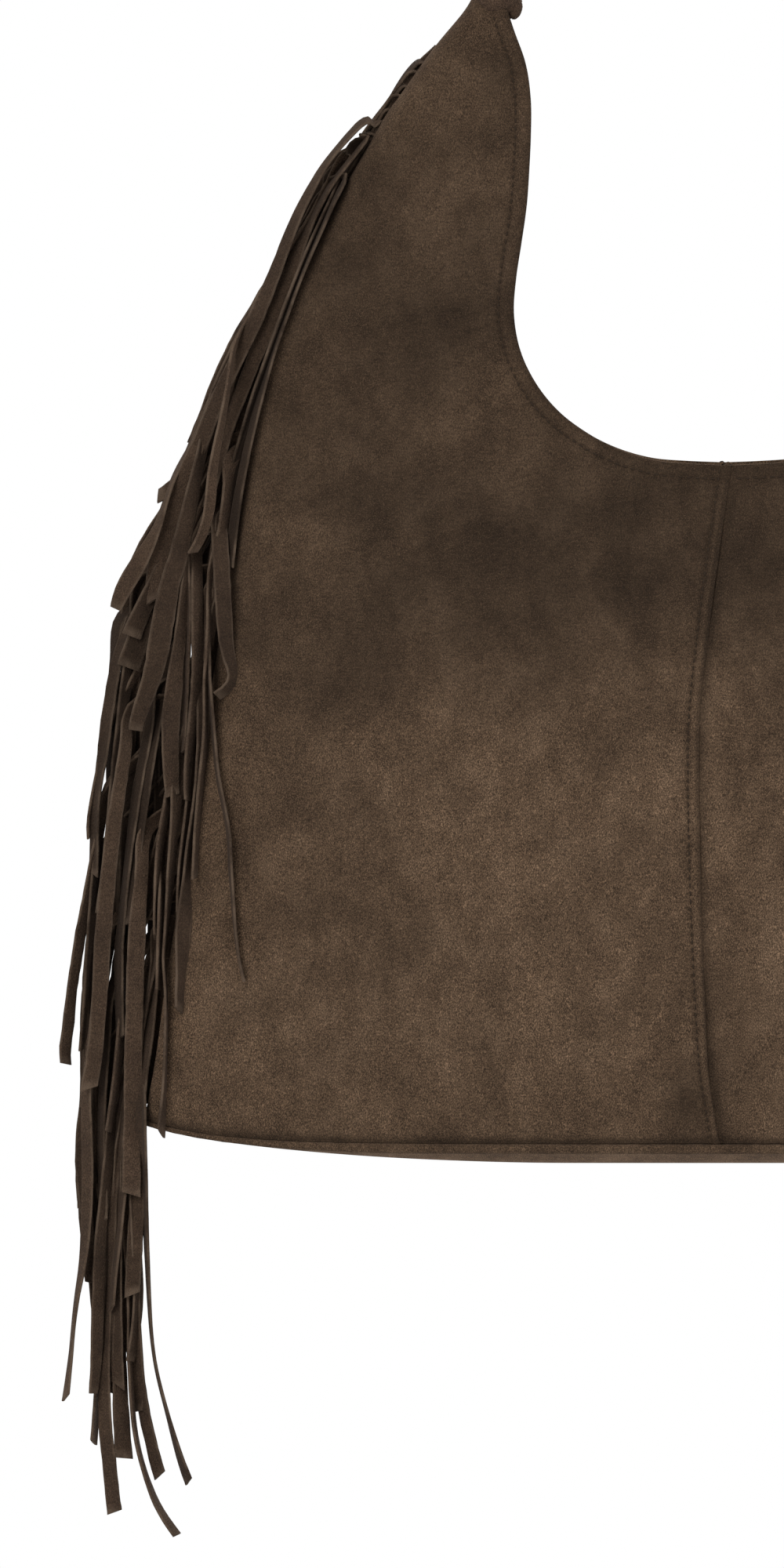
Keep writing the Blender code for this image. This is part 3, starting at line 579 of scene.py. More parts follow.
def suede(name, dark, middle, light, cut_edge=None, speckled=1.0):
    """Napped suede: soft blotches, brushed streaks, a dense light and dark speckle and a short pile."""
    material = bpy.data.materials.new(name)
    nodes = Nodes(material)
    blotches = nodes.noise(30.0, 3.5, 0.6, distortion=0.8)
    brushed = nodes.noise(75.0, 4.0, 0.62, nodes.mapped((1.7, 1.0, 1.0), (0.0, 0.35, 0.0)))
    grain = nodes.noise(2150.0, 0.4, 0.5, nodes.mapped((1.45, 1.0, 0.8), (0.0, 0.55, 0.0)))
    flecks = nodes.noise(3000.0, 0.0, 0.5)
    ribs = nodes.noise(1150.0, 1.0, 0.5, nodes.mapped((0.25, 1.0, 1.5), (0.0, -0.12, 0.0)))
    level = nodes.math("ADD", nodes.remap(blotches, 0.34, 0.66), nodes.remap(brushed, 0.30, 0.70))
    level = nodes.math("MULTIPLY", level, 0.5)
    colour = nodes.mix(nodes.remap(level, 0.15, 0.5), dark, middle)
    colour = nodes.mix(nodes.remap(level, 0.5, 0.85), colour, light)
    tone = nodes.attribute("tone")
    contrast = nodes.math("MULTIPLY", nodes.remap(tone, -0.9, 0.1, 0.52, 1.0), 3.5 * speckled)
    speckle = nodes.math("MULTIPLY", nodes.math("SUBTRACT", grain, 0.5), contrast)
    speckle = nodes.math("POWER", math.e, speckle)
    colour = nodes.mix(1.0, colour, speckle, "MULTIPLY")
    ribbing = nodes.remap(ribs, 0.30, 0.70, 0.86, 1.14)
    colour = nodes.mix(1.0, colour, ribbing, "MULTIPLY")
    fleck_mask = nodes.remap(flecks, 0.60, 0.72, 0.0, 0.50 * speckled)
    colour = nodes.mix(fleck_mask, colour, tuple(min(1.0, 1.9 * part) for part in light[:3]) + (1.0,))
    # The tone attribute scales the colour: soft patches and per-thong tone, plus painted shade in creases,
    # seams and shaded parts, and painted highlights.
    colour = nodes.mix(1.0, colour, nodes.remap(tone, -1.0, 1.0, 0.45, 1.55), "MULTIPLY")
    if cut_edge is not None:
        edge = nodes.math("MULTIPLY", nodes.attribute("rim"), nodes.remap(brushed, 0.36, 0.62, 0.10, 0.75))
        colour = nodes.mix(edge, colour, cut_edge)
    roughness = nodes.remap(grain, 0.3, 0.7, 0.88, 1.0)
    pile = nodes.math("ADD", grain, nodes.math("MULTIPLY", ribs, 0.8))
    normal = nodes.bump(pile, 0.00032, 0.8)
    normal = nodes.bump(flecks, 0.00012, 0.6, normal)
    nodes.finish(colour, roughness, normal)
    nodes.shader.inputs["Specular IOR Level"].default_value = 0.12
    nodes.shader.inputs["Sheen Weight"].default_value = 0.08
    nodes.shader.inputs["Sheen Roughness"].default_value = 0.6
    nodes.shader.inputs["Sheen Tint"].default_value = (0.55, 0.42, 0.34, 1.0)
    return material


def woven(name, colour_a, colour_b):
    """Plain woven lining cloth with a slight slub."""
    material = bpy.data.materials.new(name)
    nodes = Nodes(material)
    threads = []
    for turn in ((0.0, 0.0, 0.0), (0.0, math.pi / 2, 0.0)):
        wave = nodes.tree.nodes.new("ShaderNodeTexWave")
        wave.inputs["Scale"].default_value = 500.0
        wave.inputs["Distortion"].default_value = 0.6
        nodes.link(nodes.mapped((1.0, 0.0, 1.0), turn), wave.inputs["Vector"])
        threads.append(wave.outputs["Fac"])
    weave = nodes.math("MULTIPLY", threads[0], threads[1])
    slub = nodes.noise(160.0, 3.0, 0.6)
    colour = nodes.mix(nodes.remap(slub, 0.3, 0.7), colour_a, colour_b)
    colour = nodes.mix(1.0, colour, nodes.remap(weave, 0.0, 1.0, 0.75, 1.15), "MULTIPLY")
    nodes.finish(colour, nodes.remap(slub, 0.3, 0.7, 0.62, 0.78), nodes.bump(weave, 0.0002, 0.7))
    nodes.shader.inputs["Sheen Weight"].default_value = 0.15
    return material


def thread(name, colour):
    """Twisted sewing thread."""
    material = bpy.data.materials.new(name)
    nodes = Nodes(material)
    twist = nodes.noise(2600.0, 1.0, 0.5)
    darker = tuple(0.75 * part for part in colour[:3]) + (1.0,)
    shade = nodes.mix(nodes.remap(twist, 0.3, 0.7), darker, colour)
    nodes.finish(shade, nodes.remap(twist, 0.3, 0.7, 0.7, 0.9), nodes.bump(twist, 0.0001, 0.8))
    nodes.shader.inputs["Specular IOR Level"].default_value = 0.15
    return material


def aged_brass(name):
    """Antique brass, mottled between brown and brighter brass, with fine scratches."""
    material = bpy.data.materials.new(name)
    nodes = Nodes(material)
    patina = nodes.noise(420.0, 5.0, 0.65)
    colour = nodes.mix(nodes.remap(patina, 0.35, 0.62), (0.16, 0.10, 0.045, 1.0), (0.50, 0.36, 0.17, 1.0))
    scratches = nodes.noise(900.0, 2.0, 0.5, nodes.mapped((1.0, 1.0, 0.06)))
    nodes.finish(colour, nodes.remap(patina, 0.3, 0.7, 0.45, 0.26), nodes.bump(scratches, 0.00006, 0.5))
    nodes.shader.inputs["Metallic"].default_value = 1.0
    return material


# Body


def panel_grid(side, face):
    """Outer surface of a panel: rows from the centre seam or mouth edge out to the side seam."""
    seam_share = np.linspace(0.0, 1.0, 160)[:-1]
    mouth_share = np.linspace(0.0, 1.0, 130) ** 1.08
    seam_height = MOUTH_HEIGHT * seam_share
    mouth_points = MOUTH_PATH.at(MOUTH_PATH.length * mouth_share)
    half_gap = side * SEAM_HALF_GAP
    inner_x = np.concatenate([seam_x(seam_height) + half_gap, side * mouth_points[:, 0]])
    joined = 1.0 - smooth_step(mouth_points[:, 0] / 0.012)
    start = len(seam_share)
    inner_x[start:] += joined * (seam_x(MOUTH_HEIGHT) + half_gap)
    inner_h = np.concatenate([seam_height, mouth_points[:, 1]])
    reach = np.concatenate(
        [SIDE_SHARE_AT_MOUTH * seam_share, SIDE_SHARE_AT_MOUTH + (1 - SIDE_SHARE_AT_MOUTH) * mouth_share]
    )
    side_points = SIDE_PATH.at(SIDE_PATH.length * reach)
    side_x = side * side_points[:, 0]
    side_h = side_points[:, 1]
    follow = np.interp(seam_share, (0, 0.1, 0.25, 0.45), (1, 0.444, 0.111, 0.0))
    follow = np.concatenate([follow, 0 * mouth_share])
    width = np.abs(side_x - inner_x)
    roll = np.minimum(SIDE_ROLL_RADIUS, 0.45 * width)
    flat = width - roll
    border = np.minimum(0.0085, 0.45 * flat)
    columns = []
    for share in np.linspace(0.0, 1.0, 20)[:-1]:
        columns.append(border * share)
    for share in np.linspace(0.0, 1.0, 56)[:-1]:
        columns.append(border + (flat - border) * share)
    for angle in np.radians(np.linspace(90, 0, 9)):
        columns.append(width - roll * (1 - math.cos(angle)))
    across = np.stack(columns, axis=1)
    x = inner_x[:, None] + np.sign(side_x - inner_x)[:, None] * across
    share = across / width[:, None]
    height = inner_h[:, None] + (side_h - inner_h)[:, None] * share
    height = height + (bottom_edge(x) - height) * follow[:, None]
    y = face * (body_depth(x, height) + relief(x, height, side, face))
    grid = place(x, y, height)
    seam_turn = place(x[:, -1], face * SEAM_GAP, height[:, -1])
    return settle(np.concatenate([grid, seam_turn[:, None]], axis=1), face)


def face_normals(points, face):
    """Outward directions of the body's surface near points on it."""
    x = points[:, 0]
    height = points[:, 2] + STRAP_CREST_HEIGHT
    step = 0.002
    slope_x = (body_depth(x + step, height) - body_depth(x - step, height)) / (2 * step)
    slope_h = (body_depth(x, height + step) - body_depth(x, height - step)) / (2 * step)
    return unit(np.stack([-slope_x, np.full_like(x, face), -slope_h], axis=-1))


def body_stitches(face, material):
    """Topstitching round the mouth and down the lap of the centre seam."""
    parts = MeshParts()
    for side in (-1, 1):
        distance = np.linspace(0.003, MOUTH_PATH.length * 0.985, 260)
        line = MOUTH_PATH.at(distance) + MOUTH_PATH.inward(distance) * HEM_WIDTH
        x = side * line[:, 0]
        y = face * (body_depth(x, line[:, 1]) + relief(x, line[:, 1], side, face))
        points = settle(place(x, y, line[:, 1]), face)
        add_stitches(parts, points, face_normals(points, face))
    height = np.linspace(0.004, MOUTH_HEIGHT - 0.001, 260)
    x = seam_x(height) - LAP_WIDTH
    y = face * (body_depth(x, height) + relief(x, height, -1, face))
    points = settle(place(x, y, height), face)
    add_stitches(parts, points, face_normals(points, face))
    label = "front" if face < 0 else "back"
    return parts.build(f"{label}_stitching", material, "suede")


def make_body(materials):
    names = {(-1, -1): "front_left_panel", (1, -1): "front_right_panel"}
    names.update({(-1, 1): "back_left_panel", (1, 1): "back_right_panel"})
    for (side, face), node in names.items():
        parts = MeshParts()
        grid = panel_grid(side, face)
        tone = body_tone(grid[..., 0], grid[..., 2] + STRAP_CREST_HEIGHT, side, face)
        add_sheet(parts, grid, SUEDE_THICKNESS, (0.3 * side, face, 0.0), tone=tone)
        parts.build(f"suede_{node}", materials["suede"], "suede", node)
    for face in (-1, 1):
        body_stitches(face, materials["thread"])


def facing_edge(distance):
    """Width of the mouth facing at a place along the mouth, narrower up the horn."""
    point = MOUTH_PATH.at(distance)
    room = half_width(point[..., 1]) - point[..., 0] - 2 * SIDE_ROLL_RADIUS
    return np.minimum(FACING_WIDTH, np.maximum(room, 0.2 * FACING_WIDTH))


def make_facings(materials):
    for face, node in ((-1, "front_facing"), (1, "back_facing")):
        distance = np.linspace(0.0, 0.94 * MOUTH_PATH.length, 150)
        edge = MOUTH_PATH.at(distance)
        inward = MOUTH_PATH.inward(distance)
        inward[0] = (0.0, -1.0)
        shares = np.linspace(0.0, 1.0, 12)
        spots = edge[:, None] + inward[:, None] * (facing_edge(distance)[:, None] * shares)[..., None]
        spots[0, :, 0] = 0.0
        mirrored = spots[:0:-1] * (-1.0, 1.0)
        spots = np.concatenate([mirrored, spots])
        inset = SUEDE_THICKNESS + SEAM_CLEARANCE
        y = face * (body_depth(spots[..., 0], spots[..., 1]) - inset)
        grid = settle(place(spots[..., 0], y, spots[..., 1]), face)
        parts = MeshParts()
        add_sheet(parts, grid, FACING_THICKNESS, (0.0, face, 0.0))
        parts.build(f"suede_{node}", materials["suede"], "suede", node)


def lining_grid(face):
    """The lining behind the panels: from the base up under the facing's edge."""
    top = MOUTH_HEIGHT - FACING_WIDTH + LINING_LAP
    base = WELT_RADIUS / 2
    seam_share = np.linspace(0.0, 1.0, 40)[:-1]
    mouth_share = np.linspace(0.0, 1.0, 44)
    distance = MOUTH_PATH.length * 0.66 * mouth_share
    inward = MOUTH_PATH.inward(distance)
    inward[0] = (0.0, -1.0)
    upper = MOUTH_PATH.at(distance) + inward * (facing_edge(distance) - LINING_LAP)[:, None]
    upper[0, 0] = 0.0
    inner_x = np.concatenate([0 * seam_share, upper[:, 0]])
    inner_h = np.concatenate([base + (top - base) * seam_share, upper[:, 1]])
    reach = np.concatenate([0.40 * seam_share, 0.40 + 0.40 * mouth_share])
    side_points = SIDE_PATH.at(SIDE_PATH.length * reach)
    side_x = side_points[:, 0] - LINING_INSET
    side_h = np.maximum(side_points[:, 1], CORNER_HEIGHT + base)
    follow = np.interp(seam_share, (0, 0.15, 0.4, 0.65), (1, 0.444, 0.111, 0.0))
    follow = np.concatenate([follow, 0 * mouth_share])
    shares = np.linspace(0.0, 1.0, 44) ** 0.9
    x = inner_x[:, None] + (side_x - inner_x)[:, None] * shares
    height = inner_h[:, None] + (side_h - inner_h)[:, None] * shares
    height = height + (bottom_edge(x) + base - height) * follow[:, None]
    slack = 0.0005 * np.minimum(waves(x, height, 0.030, 11.0 + face), 0.0)
    y = face * (body_depth(x, height, LINING_INSET) + slack)
    return place(x, y, height)


def make_linings(materials):
    for face, node in ((-1, "front_lining"), (1, "back_lining")):
        parts = MeshParts()
        half = lining_grid(face)
        for side in (-1, 1):
            add_sheet(parts, half * (side, 1.0, 1.0), LINING_THICKNESS, (0.0, face, 0.0))
        parts.build(f"cloth_{node}", materials["lining"], "lining_cloth", node)
    width, tall = POCKET_SIZE
    x = np.linspace(-width / 2, width / 2, 44)[None, :]
    height = POCKET_BASE_HEIGHT + tall * np.linspace(0.0, 1.0, 34)[:, None]
    inset = LINING_INSET + LINING_THICKNESS + POCKET_CLEARANCE
    sag = 0.0006 * smooth_step((height - POCKET_BASE_HEIGHT) / tall) * (1 - (2 * x / width) ** 2)
    y = body_depth(x, height) - inset - sag
    parts = MeshParts()
    add_sheet(parts, place(x, y, height), LINING_THICKNESS, (0.0, 1.0, 0.0))
    parts.build("cloth_inner_pocket", materials["lining"], "lining_cloth", "inner_pocket")


def base_half_width(x):
    return body_depth(x, bottom_edge(x)) - SUEDE_THICKNESS / 2


def welt_radius(x):
    """The piping is squeezed thinner towards the corners."""
    from_corner = np.clip(1.0 - np.abs(x) / CORNER_HALF_WIDTH, 0.0, 1.0)
    return WELT_RADIUS * (0.45 + 0.55 * smooth_step(2.2 * from_corner))


def welt_height(x):
    return bottom_edge(x) - SEAM_CLEARANCE - welt_radius(x)


def base_height_at(x, share):
    """Height of the base's underside: flat in its middle and sagging below the welt."""
    flat_share = BASE_FLAT_HALF_WIDTH / base_half_width(0.0)
    across = np.clip((1.0 - np.abs(share)) / (1.0 - flat_share), 0.0, 1.0)
    along = np.clip((CORNER_HALF_WIDTH - np.abs(x)) / (CORNER_HALF_WIDTH - BASE_FLAT_HALF_LENGTH), 0.0, 1.0)
    ease = across * across * (3 - 2 * across) * np.sin(along * math.pi / 2) ** 2
    return welt_height(x) - SUEDE_THICKNESS / 2 - BASE_SAG * ease


def base_grid(edge_room, lift, end_room):
    end_x = CORNER_HALF_WIDTH - SUEDE_THICKNESS - end_room - edge_room
    x = end_x * np.sin(np.linspace(-math.pi / 2, math.pi / 2, 121))[:, None]
    share = np.linspace(-1.0, 1.0, 37)[None, :]
    half = base_half_width(np.abs(x) + edge_room) - edge_room
    return place(x, share * half, base_height_at(x, share) + lift)


def make_base(materials):
    edge_room = WELT_RADIUS + SEAM_CLEARANCE
    parts = MeshParts()
    # Painted highlight: the base's underside is lighter, as if it catches light from below.
    add_sheet(parts, base_grid(edge_room, 0.0, WELT_RADIUS), SUEDE_THICKNESS, (0.0, 0.0, -1.0), tone=0.45)
    parts.build("suede_base_panel", materials["suede"], "suede", "base_panel")
    lining_room = LINING_INSET + LINING_THICKNESS - SUEDE_THICKNESS / 2 + SEAM_CLEARANCE
    lift = SUEDE_THICKNESS + SEAM_CLEARANCE
    parts = MeshParts()
    add_sheet(parts, base_grid(lining_room, lift, 4 * WELT_RADIUS), LINING_THICKNESS, (0.0, 0.0, -1.0))
    parts.build("cloth_base_lining", materials["lining"], "lining_cloth", "base_lining")
    turns = 640
    angle = math.tau * np.arange(turns) / turns
    x = (CORNER_HALF_WIDTH - SUEDE_THICKNESS / 2) * np.cos(angle)
    half = base_half_width(x)
    half[[0, turns // 2]] = 0.0
    centre = place(x, np.sign(np.sin(angle)) * half, welt_height(x))
    heading = unit(np.roll(centre, -1, axis=0) - np.roll(centre, 1, axis=0))
    outward = unit(np.cross(heading, (0.0, 0.0, 1.0)))
    upward = np.cross(outward, heading)
    radii = welt_radius(x)
    rings = []
    for index in range(turns):
        ring = []
        for step in range(14):
            turn = math.tau * step / 14
            spin = centre[index] * 420 + Vector((0, 0, turn * 0.4))
            swell = radii[index] + 0.00010 * noise.noise(Vector(spin))
            out = outward[index] * math.cos(turn) + upward[index] * math.sin(turn)
            ring.append(centre[index] + swell * out)
        rings.append(ring)
    parts = MeshParts()
    # Painted shade: the welt is darker where it sits in the bottom seam.
    add_tube(parts, rings, closed=True, tone=-0.25)
    parts.build("suede_base_welt", materials["suede"], "suede", "base_welt")


# Snap


def make_snaps(materials):
    """Magnetic snap: a raised cap with a beaded edge, one half with a pin, one with a well."""
    for face, node, is_stud in ((-1, "snap_socket", False), (1, "snap_stud", True)):
        height = MOUTH_HEIGHT - SNAP_DROP
        inset = SUEDE_THICKNESS + SEAM_CLEARANCE + FACING_THICKNESS + 0.0006
        step = 0.004
        low = Vector(place(0.0, face * body_depth(0.0, height - step), height - step))
        high = Vector(place(0.0, face * body_depth(0.0, height + step), height + step))
        up = (high - low).normalized()
        inward = up.cross(Vector((face, 0, 0))).normalized()
        if inward.y * face > 0:
            inward.negate()
        seat = (low + high) / 2 + inward * inset
        if face > 0:
            seat.z += 0.0026
        frame = Matrix((up.cross(inward), up, inward)).transposed().to_4x4()
        frame.translation = seat
        if is_stud:
            profile = [(0.0001, 4.2), (2.4, 4.2), (3.0, 4.0), (3.2, 3.6), (3.2, 2.4), (3.6, 2.15)]
        else:
            profile = [(0.0001, 1.2), (3.1, 1.2), (3.4, 1.35), (3.5, 1.9), (3.7, 2.15), (4.1, 2.2)]
        profile += [(5.4, 2.2), (5.7, 2.0), (6.0, 2.0), (6.3, 2.2), (6.9, 2.25), (7.5, 2.1), (7.85, 1.7)]
        profile += [(8.0, 1.2), (8.0, 0.25), (7.8, 0.0), (0.0001, 0.0)]
        rings = []
        for turn in range(64):
            angle = math.tau * turn / 64
            spots = [Vector((r * math.cos(angle), r * math.sin(angle), z)) for r, z in profile]
            rings.append([frame @ (spot * MILLIMETRE) for spot in spots])
        parts = MeshParts()
        add_tube(parts, rings, closed=True)
        piece = parts.build(f"metal_{node}", materials["brass"], "snap_metal", node, sharp=50)
        mesh = piece.data
        mesh.flip_normals()


# Fringe

THONG_COUNT = 76
THONG_WIDTH = 0.0056
THONG_THICKNESS = 0.0010
THONG_ROUGHNESS = 0.00028
THONG_LENGTH = 0.155
LEAST_RISE = 1.5
GOLDEN_SHARE = 0.618
HEADER_TOP_INSET = 0.028
HEADER_BOTTOM_INSET = 0.006
CORNER_FALL = ((0.2085, -0.035), (0.2040, -0.085), (0.2020, -0.175))
FRINGE_PATH = SmoothPath(tuple(reversed(SIDE_OUTLINE)) + CORNER_FALL)
THONG_SECTION = (
    (-0.90, 0.5), (-0.72, 0.5), (0.0, 0.5), (0.72, 0.5), (0.90, 0.5), (1.0, 0.20), (1.0, -0.20),
    (0.90, -0.5), (0.72, -0.5), (0.0, -0.5), (-0.72, -0.5), (-0.90, -0.5), (-1.0, -0.20), (-1.0, 0.20),
)

# How far the whole fringe stands out from the side seam, by height above the bottom seam
FRINGE_REACH = (
    (-0.140, 0.020), (0.015, 0.023), (0.043, 0.028), (0.099, 0.033), (0.155, 0.0378),
    (0.197, 0.0370), (0.211, 0.033), (0.225, 0.0265), (0.239, 0.0233), (0.267, 0.0166),
    (0.295, 0.0118), (0.309, 0.0101), (0.346, 0.0115), (0.352, 0.0061), (0.363, 0.0026),
    (0.400, 0.0024),
)

# The thongs that show, as they hang on the left: row of the picture where the root is (None is
# found from the length), depth in millimetres (negative is nearer the front), tone, which is partly
# dye and partly painted shade on thongs that hang in shadow, points of the picture down the thong's
# middle, and the widths seen at even steps along it, in its pixels
THONGS = (
    (150, -6, -0.05, ((472, 153), (458, 160), (420, 203), (402, 232), (385, 264), (369, 300), (354, 340),
     (338, 380), (322, 418), (305, 452), (287, 490), (270, 530), (254, 570), (238, 604), (222, 621),
     (202, 633)), (12, 9, 14, 17, 20, 20, 20, 22, 18)),
    (64, 2, -0.5, ((532, 79), (516, 98), (491, 140), (477, 166), (438, 224), (402, 292), (366, 372),
     (334, 452), (318, 492), (302, 530), (290, 560)), (9, 10, 18, 18)),
    (168, -4, 0.0, ((468, 177), (425, 232), (405, 266), (388, 302), (372, 342), (356, 382), (324, 460),
     (294, 538), (282, 578), (264, 648)), (7, 8, 12, 19, 22, 20, 18, 16, 14)),
    (190, -3, -0.6, ((453, 198), (442, 214), (424, 254), (396, 314), (381, 350), (366, 388), (351, 430),
     (337, 470), (323, 510), (301, 590), (293, 630), (283, 700)), (9, 7, 9, 14)),
    (214, -2, -0.7, ((441, 226), (424, 262), (411, 292), (396, 326), (380, 364), (366, 402), (352, 440),
     (340, 480), (319, 560), (303, 640), (293, 720)), (8, 7, 9, 12, 14)),
    (None, -12, -0.4, ((256, 585), (246, 630), (238, 668), (228, 710), (216, 750), (202, 830), (194, 865),
     (175, 920), (174, 932)), (14, 24, 30, 19)),
    (None, -13, 0.3, ((300, 440), (292, 490), (283, 540), (275, 580), (270, 615), (268, 645), (262, 672),
     (254, 692), (246, 705)), (7, 8, 12, 16, 12)),
    (None, -8, -0.1, ((252, 570), (240, 600), (222, 647), (212, 683), (204, 710), (197, 740), (194, 768)),
     (20, 22, 24, 24, 26, 24, 16)),
    (None, -10, -0.15, ((222, 610), (203, 668), (188, 700), (158, 752), (148, 777)),
     (8, 8, 10, 14, 20, 25, 22, 16)),
    (None, -7, -0.45, ((215, 700), (200, 740), (176, 792), (168, 812)), (16, 26)),
    (None, -5, -0.6, ((200, 740), (176, 815), (164, 852)), (18, 22, 30, 30)),
    (None, -3, -0.5, ((172, 780), (158, 815), (148, 850), (141, 890), (136, 925), (131, 965), (125, 1005),
     (122, 1035), (121, 1075), (120, 1115)), (14, 15, 17, 17, 12, 13, 14)),
    (None, -2, -0.6, ((172, 800), (164, 850), (158, 900), (152, 950), (143, 1040), (139, 1080), (134, 1120),
     (128, 1160)), (14, 16, 16, 14, 12)),
    (None, 0, 0.1, ((124, 990), (114, 1045), (114, 1065)), (7, 7)),
    (None, -1, 0.0, ((128, 1060), (120, 1100), (112, 1145), (104, 1185), (97, 1228), (91, 1270), (87, 1310),
     (83, 1338), (84, 1357)), (12, 14, 15, 16, 14, 17, 16)),
    (None, 0, -0.4, ((124, 1080), (115, 1200), (112, 1260), (109, 1300), (106, 1337)), (10, 12)),
    (None, -9, -0.1, ((160, 960), (146, 1050), (140, 1105), (131, 1205), (129, 1250), (122, 1339),
     (114, 1388)), (18, 19, 20, 21, 22, 21, 20, 22)),
    (None, -5, -0.7, ((190, 930), (172, 1030), (155, 1180), (152, 1230), (154, 1324)), (14, 14, 10, 14, 12)),
    (None, -6, -0.75, ((196, 940), (189, 980), (183, 1020), (172, 1100), (160, 1180)), (17, 17, 14)),
    (None, -8, 0.15, ((186, 1060), (181, 1110), (177, 1160), (174, 1210), (171, 1310), (170, 1360),
     (170, 1420), (168, 1470), (168, 1523)), (20, 18, 23, 23, 23, 24, 23, 24)),
    (None, -9, -0.2, ((240, 720), (231, 800), (218, 925), (220, 1015)), (14, 15, 18, 25, 23, 19)),
    (None, -10, -0.1, ((252, 740), (252, 780), (252, 860), (244, 945), (240, 985), (240, 1021)),
     (16, 17, 14, 10)),
    (None, -7, -0.1, ((238, 720), (241, 770), (240, 820), (236, 920), (233, 960)), (10, 10)),
    (None, -14, -0.4, ((281, 690), (289, 820), (299, 862), (292, 877), (277, 888)), (22, 22, 22, 20, 15, 14)),
    (None, -14, -0.4, ((268, 870), (274, 942), (279, 991), (292, 1058), (295, 1107), (298, 1150),
     (301, 1188), (306, 1225), (312, 1250)), (6, 7, 7, 4)),
    (None, -12, 0.0, ((268, 790), (266, 830), (263, 870), (263, 905), (262, 945), (258, 985), (254, 1030),
     (251, 1070), (249, 1119)), (10, 8, 9, 9)),
    (None, -9, 0.1, ((214, 1020), (207, 1060), (202, 1100), (198, 1170), (198, 1195)), (12, 10, 4)),
    (None, -10, -0.2, ((240, 1030), (230, 1110), (227, 1170)), (10, 6)),
    (None, -11, -0.35, ((246, 1050), (240, 1090), (238, 1130), (237, 1160), (234, 1195), (230, 1260),
     (229, 1288)), (9, 9, 10, 18, 22, 17, 13, 12)),
    (None, -10, -0.2, ((224, 1040), (220, 1090), (216, 1140), (212, 1185), (209, 1222), (212, 1265),
     (212, 1310), (211, 1366), (209, 1410), (206, 1444)), (14, 12, 5, 5, 6, 12)),
    (None, -4, 0.05, ((128, 1240), (121, 1300), (114, 1350), (110, 1400), (111, 1440), (112, 1500),
     (110, 1560), (106, 1610), (99, 1650), (94, 1690), (90, 1735), (84, 1782)),
     (14, 14, 13, 16, 17, 14, 8, 6, 10)),
    (None, -1, -0.5, ((136, 1330), (132, 1380), (130, 1420), (129, 1460), (131, 1500), (132, 1540),
     (131, 1560)), (12, 13)),
    (None, -5, 0.0, ((156, 1300), (152, 1340), (148, 1380), (138, 1443)), (12, 12, 9)),
    (None, -3, -0.25, ((138, 1480), (133, 1530), (128, 1580), (126, 1630), (124, 1680), (123, 1730),
     (119, 1777)), (14, 15, 17, 17, 17, 12)),
    (None, -5, -0.2, ((160, 1500), (156, 1540), (152, 1580), (147, 1620), (143, 1668)), (9, 8)),
    (None, -6, -0.55, ((182, 1380), (184, 1440), (185, 1500), (186, 1560), (191, 1670), (196, 1725),
     (205, 1770), (228, 1853), (241, 1889)), (8, 8, 9, 7, 5, 6, 13)),
    (None, -5, -0.25, ((176, 1500), (175, 1540), (172, 1590), (169, 1651)), (18, 21, 20)),
    (None, -3, -0.3, ((172, 1560), (176, 1660), (166, 1736)), (14, 15, 12)),
    (None, -2, -0.35, ((150, 1560), (149, 1680), (151, 1767)), (14, 18)),
    (None, 0, -0.2, ((138, 1640), (135, 1700), (133, 1760), (135, 1822), (140, 1870), (146, 1929)),
     (14, 16, 19, 20)),
    (None, 1, -0.3, ((154, 1660), (152, 1710), (153, 1770), (155, 1815), (158, 1860)), (16, 23)),
    (None, 2, -0.5, ((130, 1700), (125, 1750), (122, 1800), (119, 1840)), (8, 10)),
    (None, 1, -0.2, ((172, 1640), (174, 1700), (178, 1760), (185, 1805), (194, 1845), (204, 1882)), (14, 18)),
    (None, -1, -0.1, ((166, 1680), (166, 1740), (174, 1835), (198, 1914), (226, 1958)), (8, 7, 7, 12)),
    (None, 2, -0.7, ((168, 850), (164, 960), (162, 1020), (158, 1160), (156, 1240)), (18, 18, 14)),
    (None, 1.6, -0.7, ((210, 840), (207, 900), (204, 1020), (200, 1150)), (18, 18, 14)),
    (None, 2.5, -0.6, ((196, 960), (195, 1020), (196, 1080), (196, 1150), (194, 1290)), (18, 18, 14)),
    (None, 3, -0.6, ((124, 1300), (122, 1350), (121, 1400), (121, 1460), (122, 1510)), (12, 12)),
    (None, 3, -0.7, ((147, 840), (144, 900), (142, 960), (142, 1020), (146, 1080), (146, 1140), (147, 1200)),
     (16, 16, 14, 12)),
    (None, -11, 0.1, ((206, 1130), (204, 1180), (203, 1220), (202, 1262)), (8, 8)),
)


def beside_seam(along, outward):
    """Points in the plane of the bag by length along the side seam and distance out of it."""
    seat = FRINGE_PATH.at(along)
    heading = FRINGE_PATH.tangent(along)
    x = seat[..., 0] - heading[..., 1] * outward
    height = seat[..., 1] + heading[..., 0] * outward
    return np.stack([x, height], axis=-1)


def along_seam(point):
    """Length along the side seam beside a point, and the point's distance out of the seam."""
    distance = np.linspace(0.0, FRINGE_PATH.length, 1200)
    seat = FRINGE_PATH.at(distance)
    nearest = int(np.argmin(np.linalg.norm(seat - point, axis=1)))
    heading = FRINGE_PATH.tangent(distance[nearest])
    normal = np.array([-heading[1], heading[0]])
    return distance[nearest], float((point - seat[nearest]) @ normal)


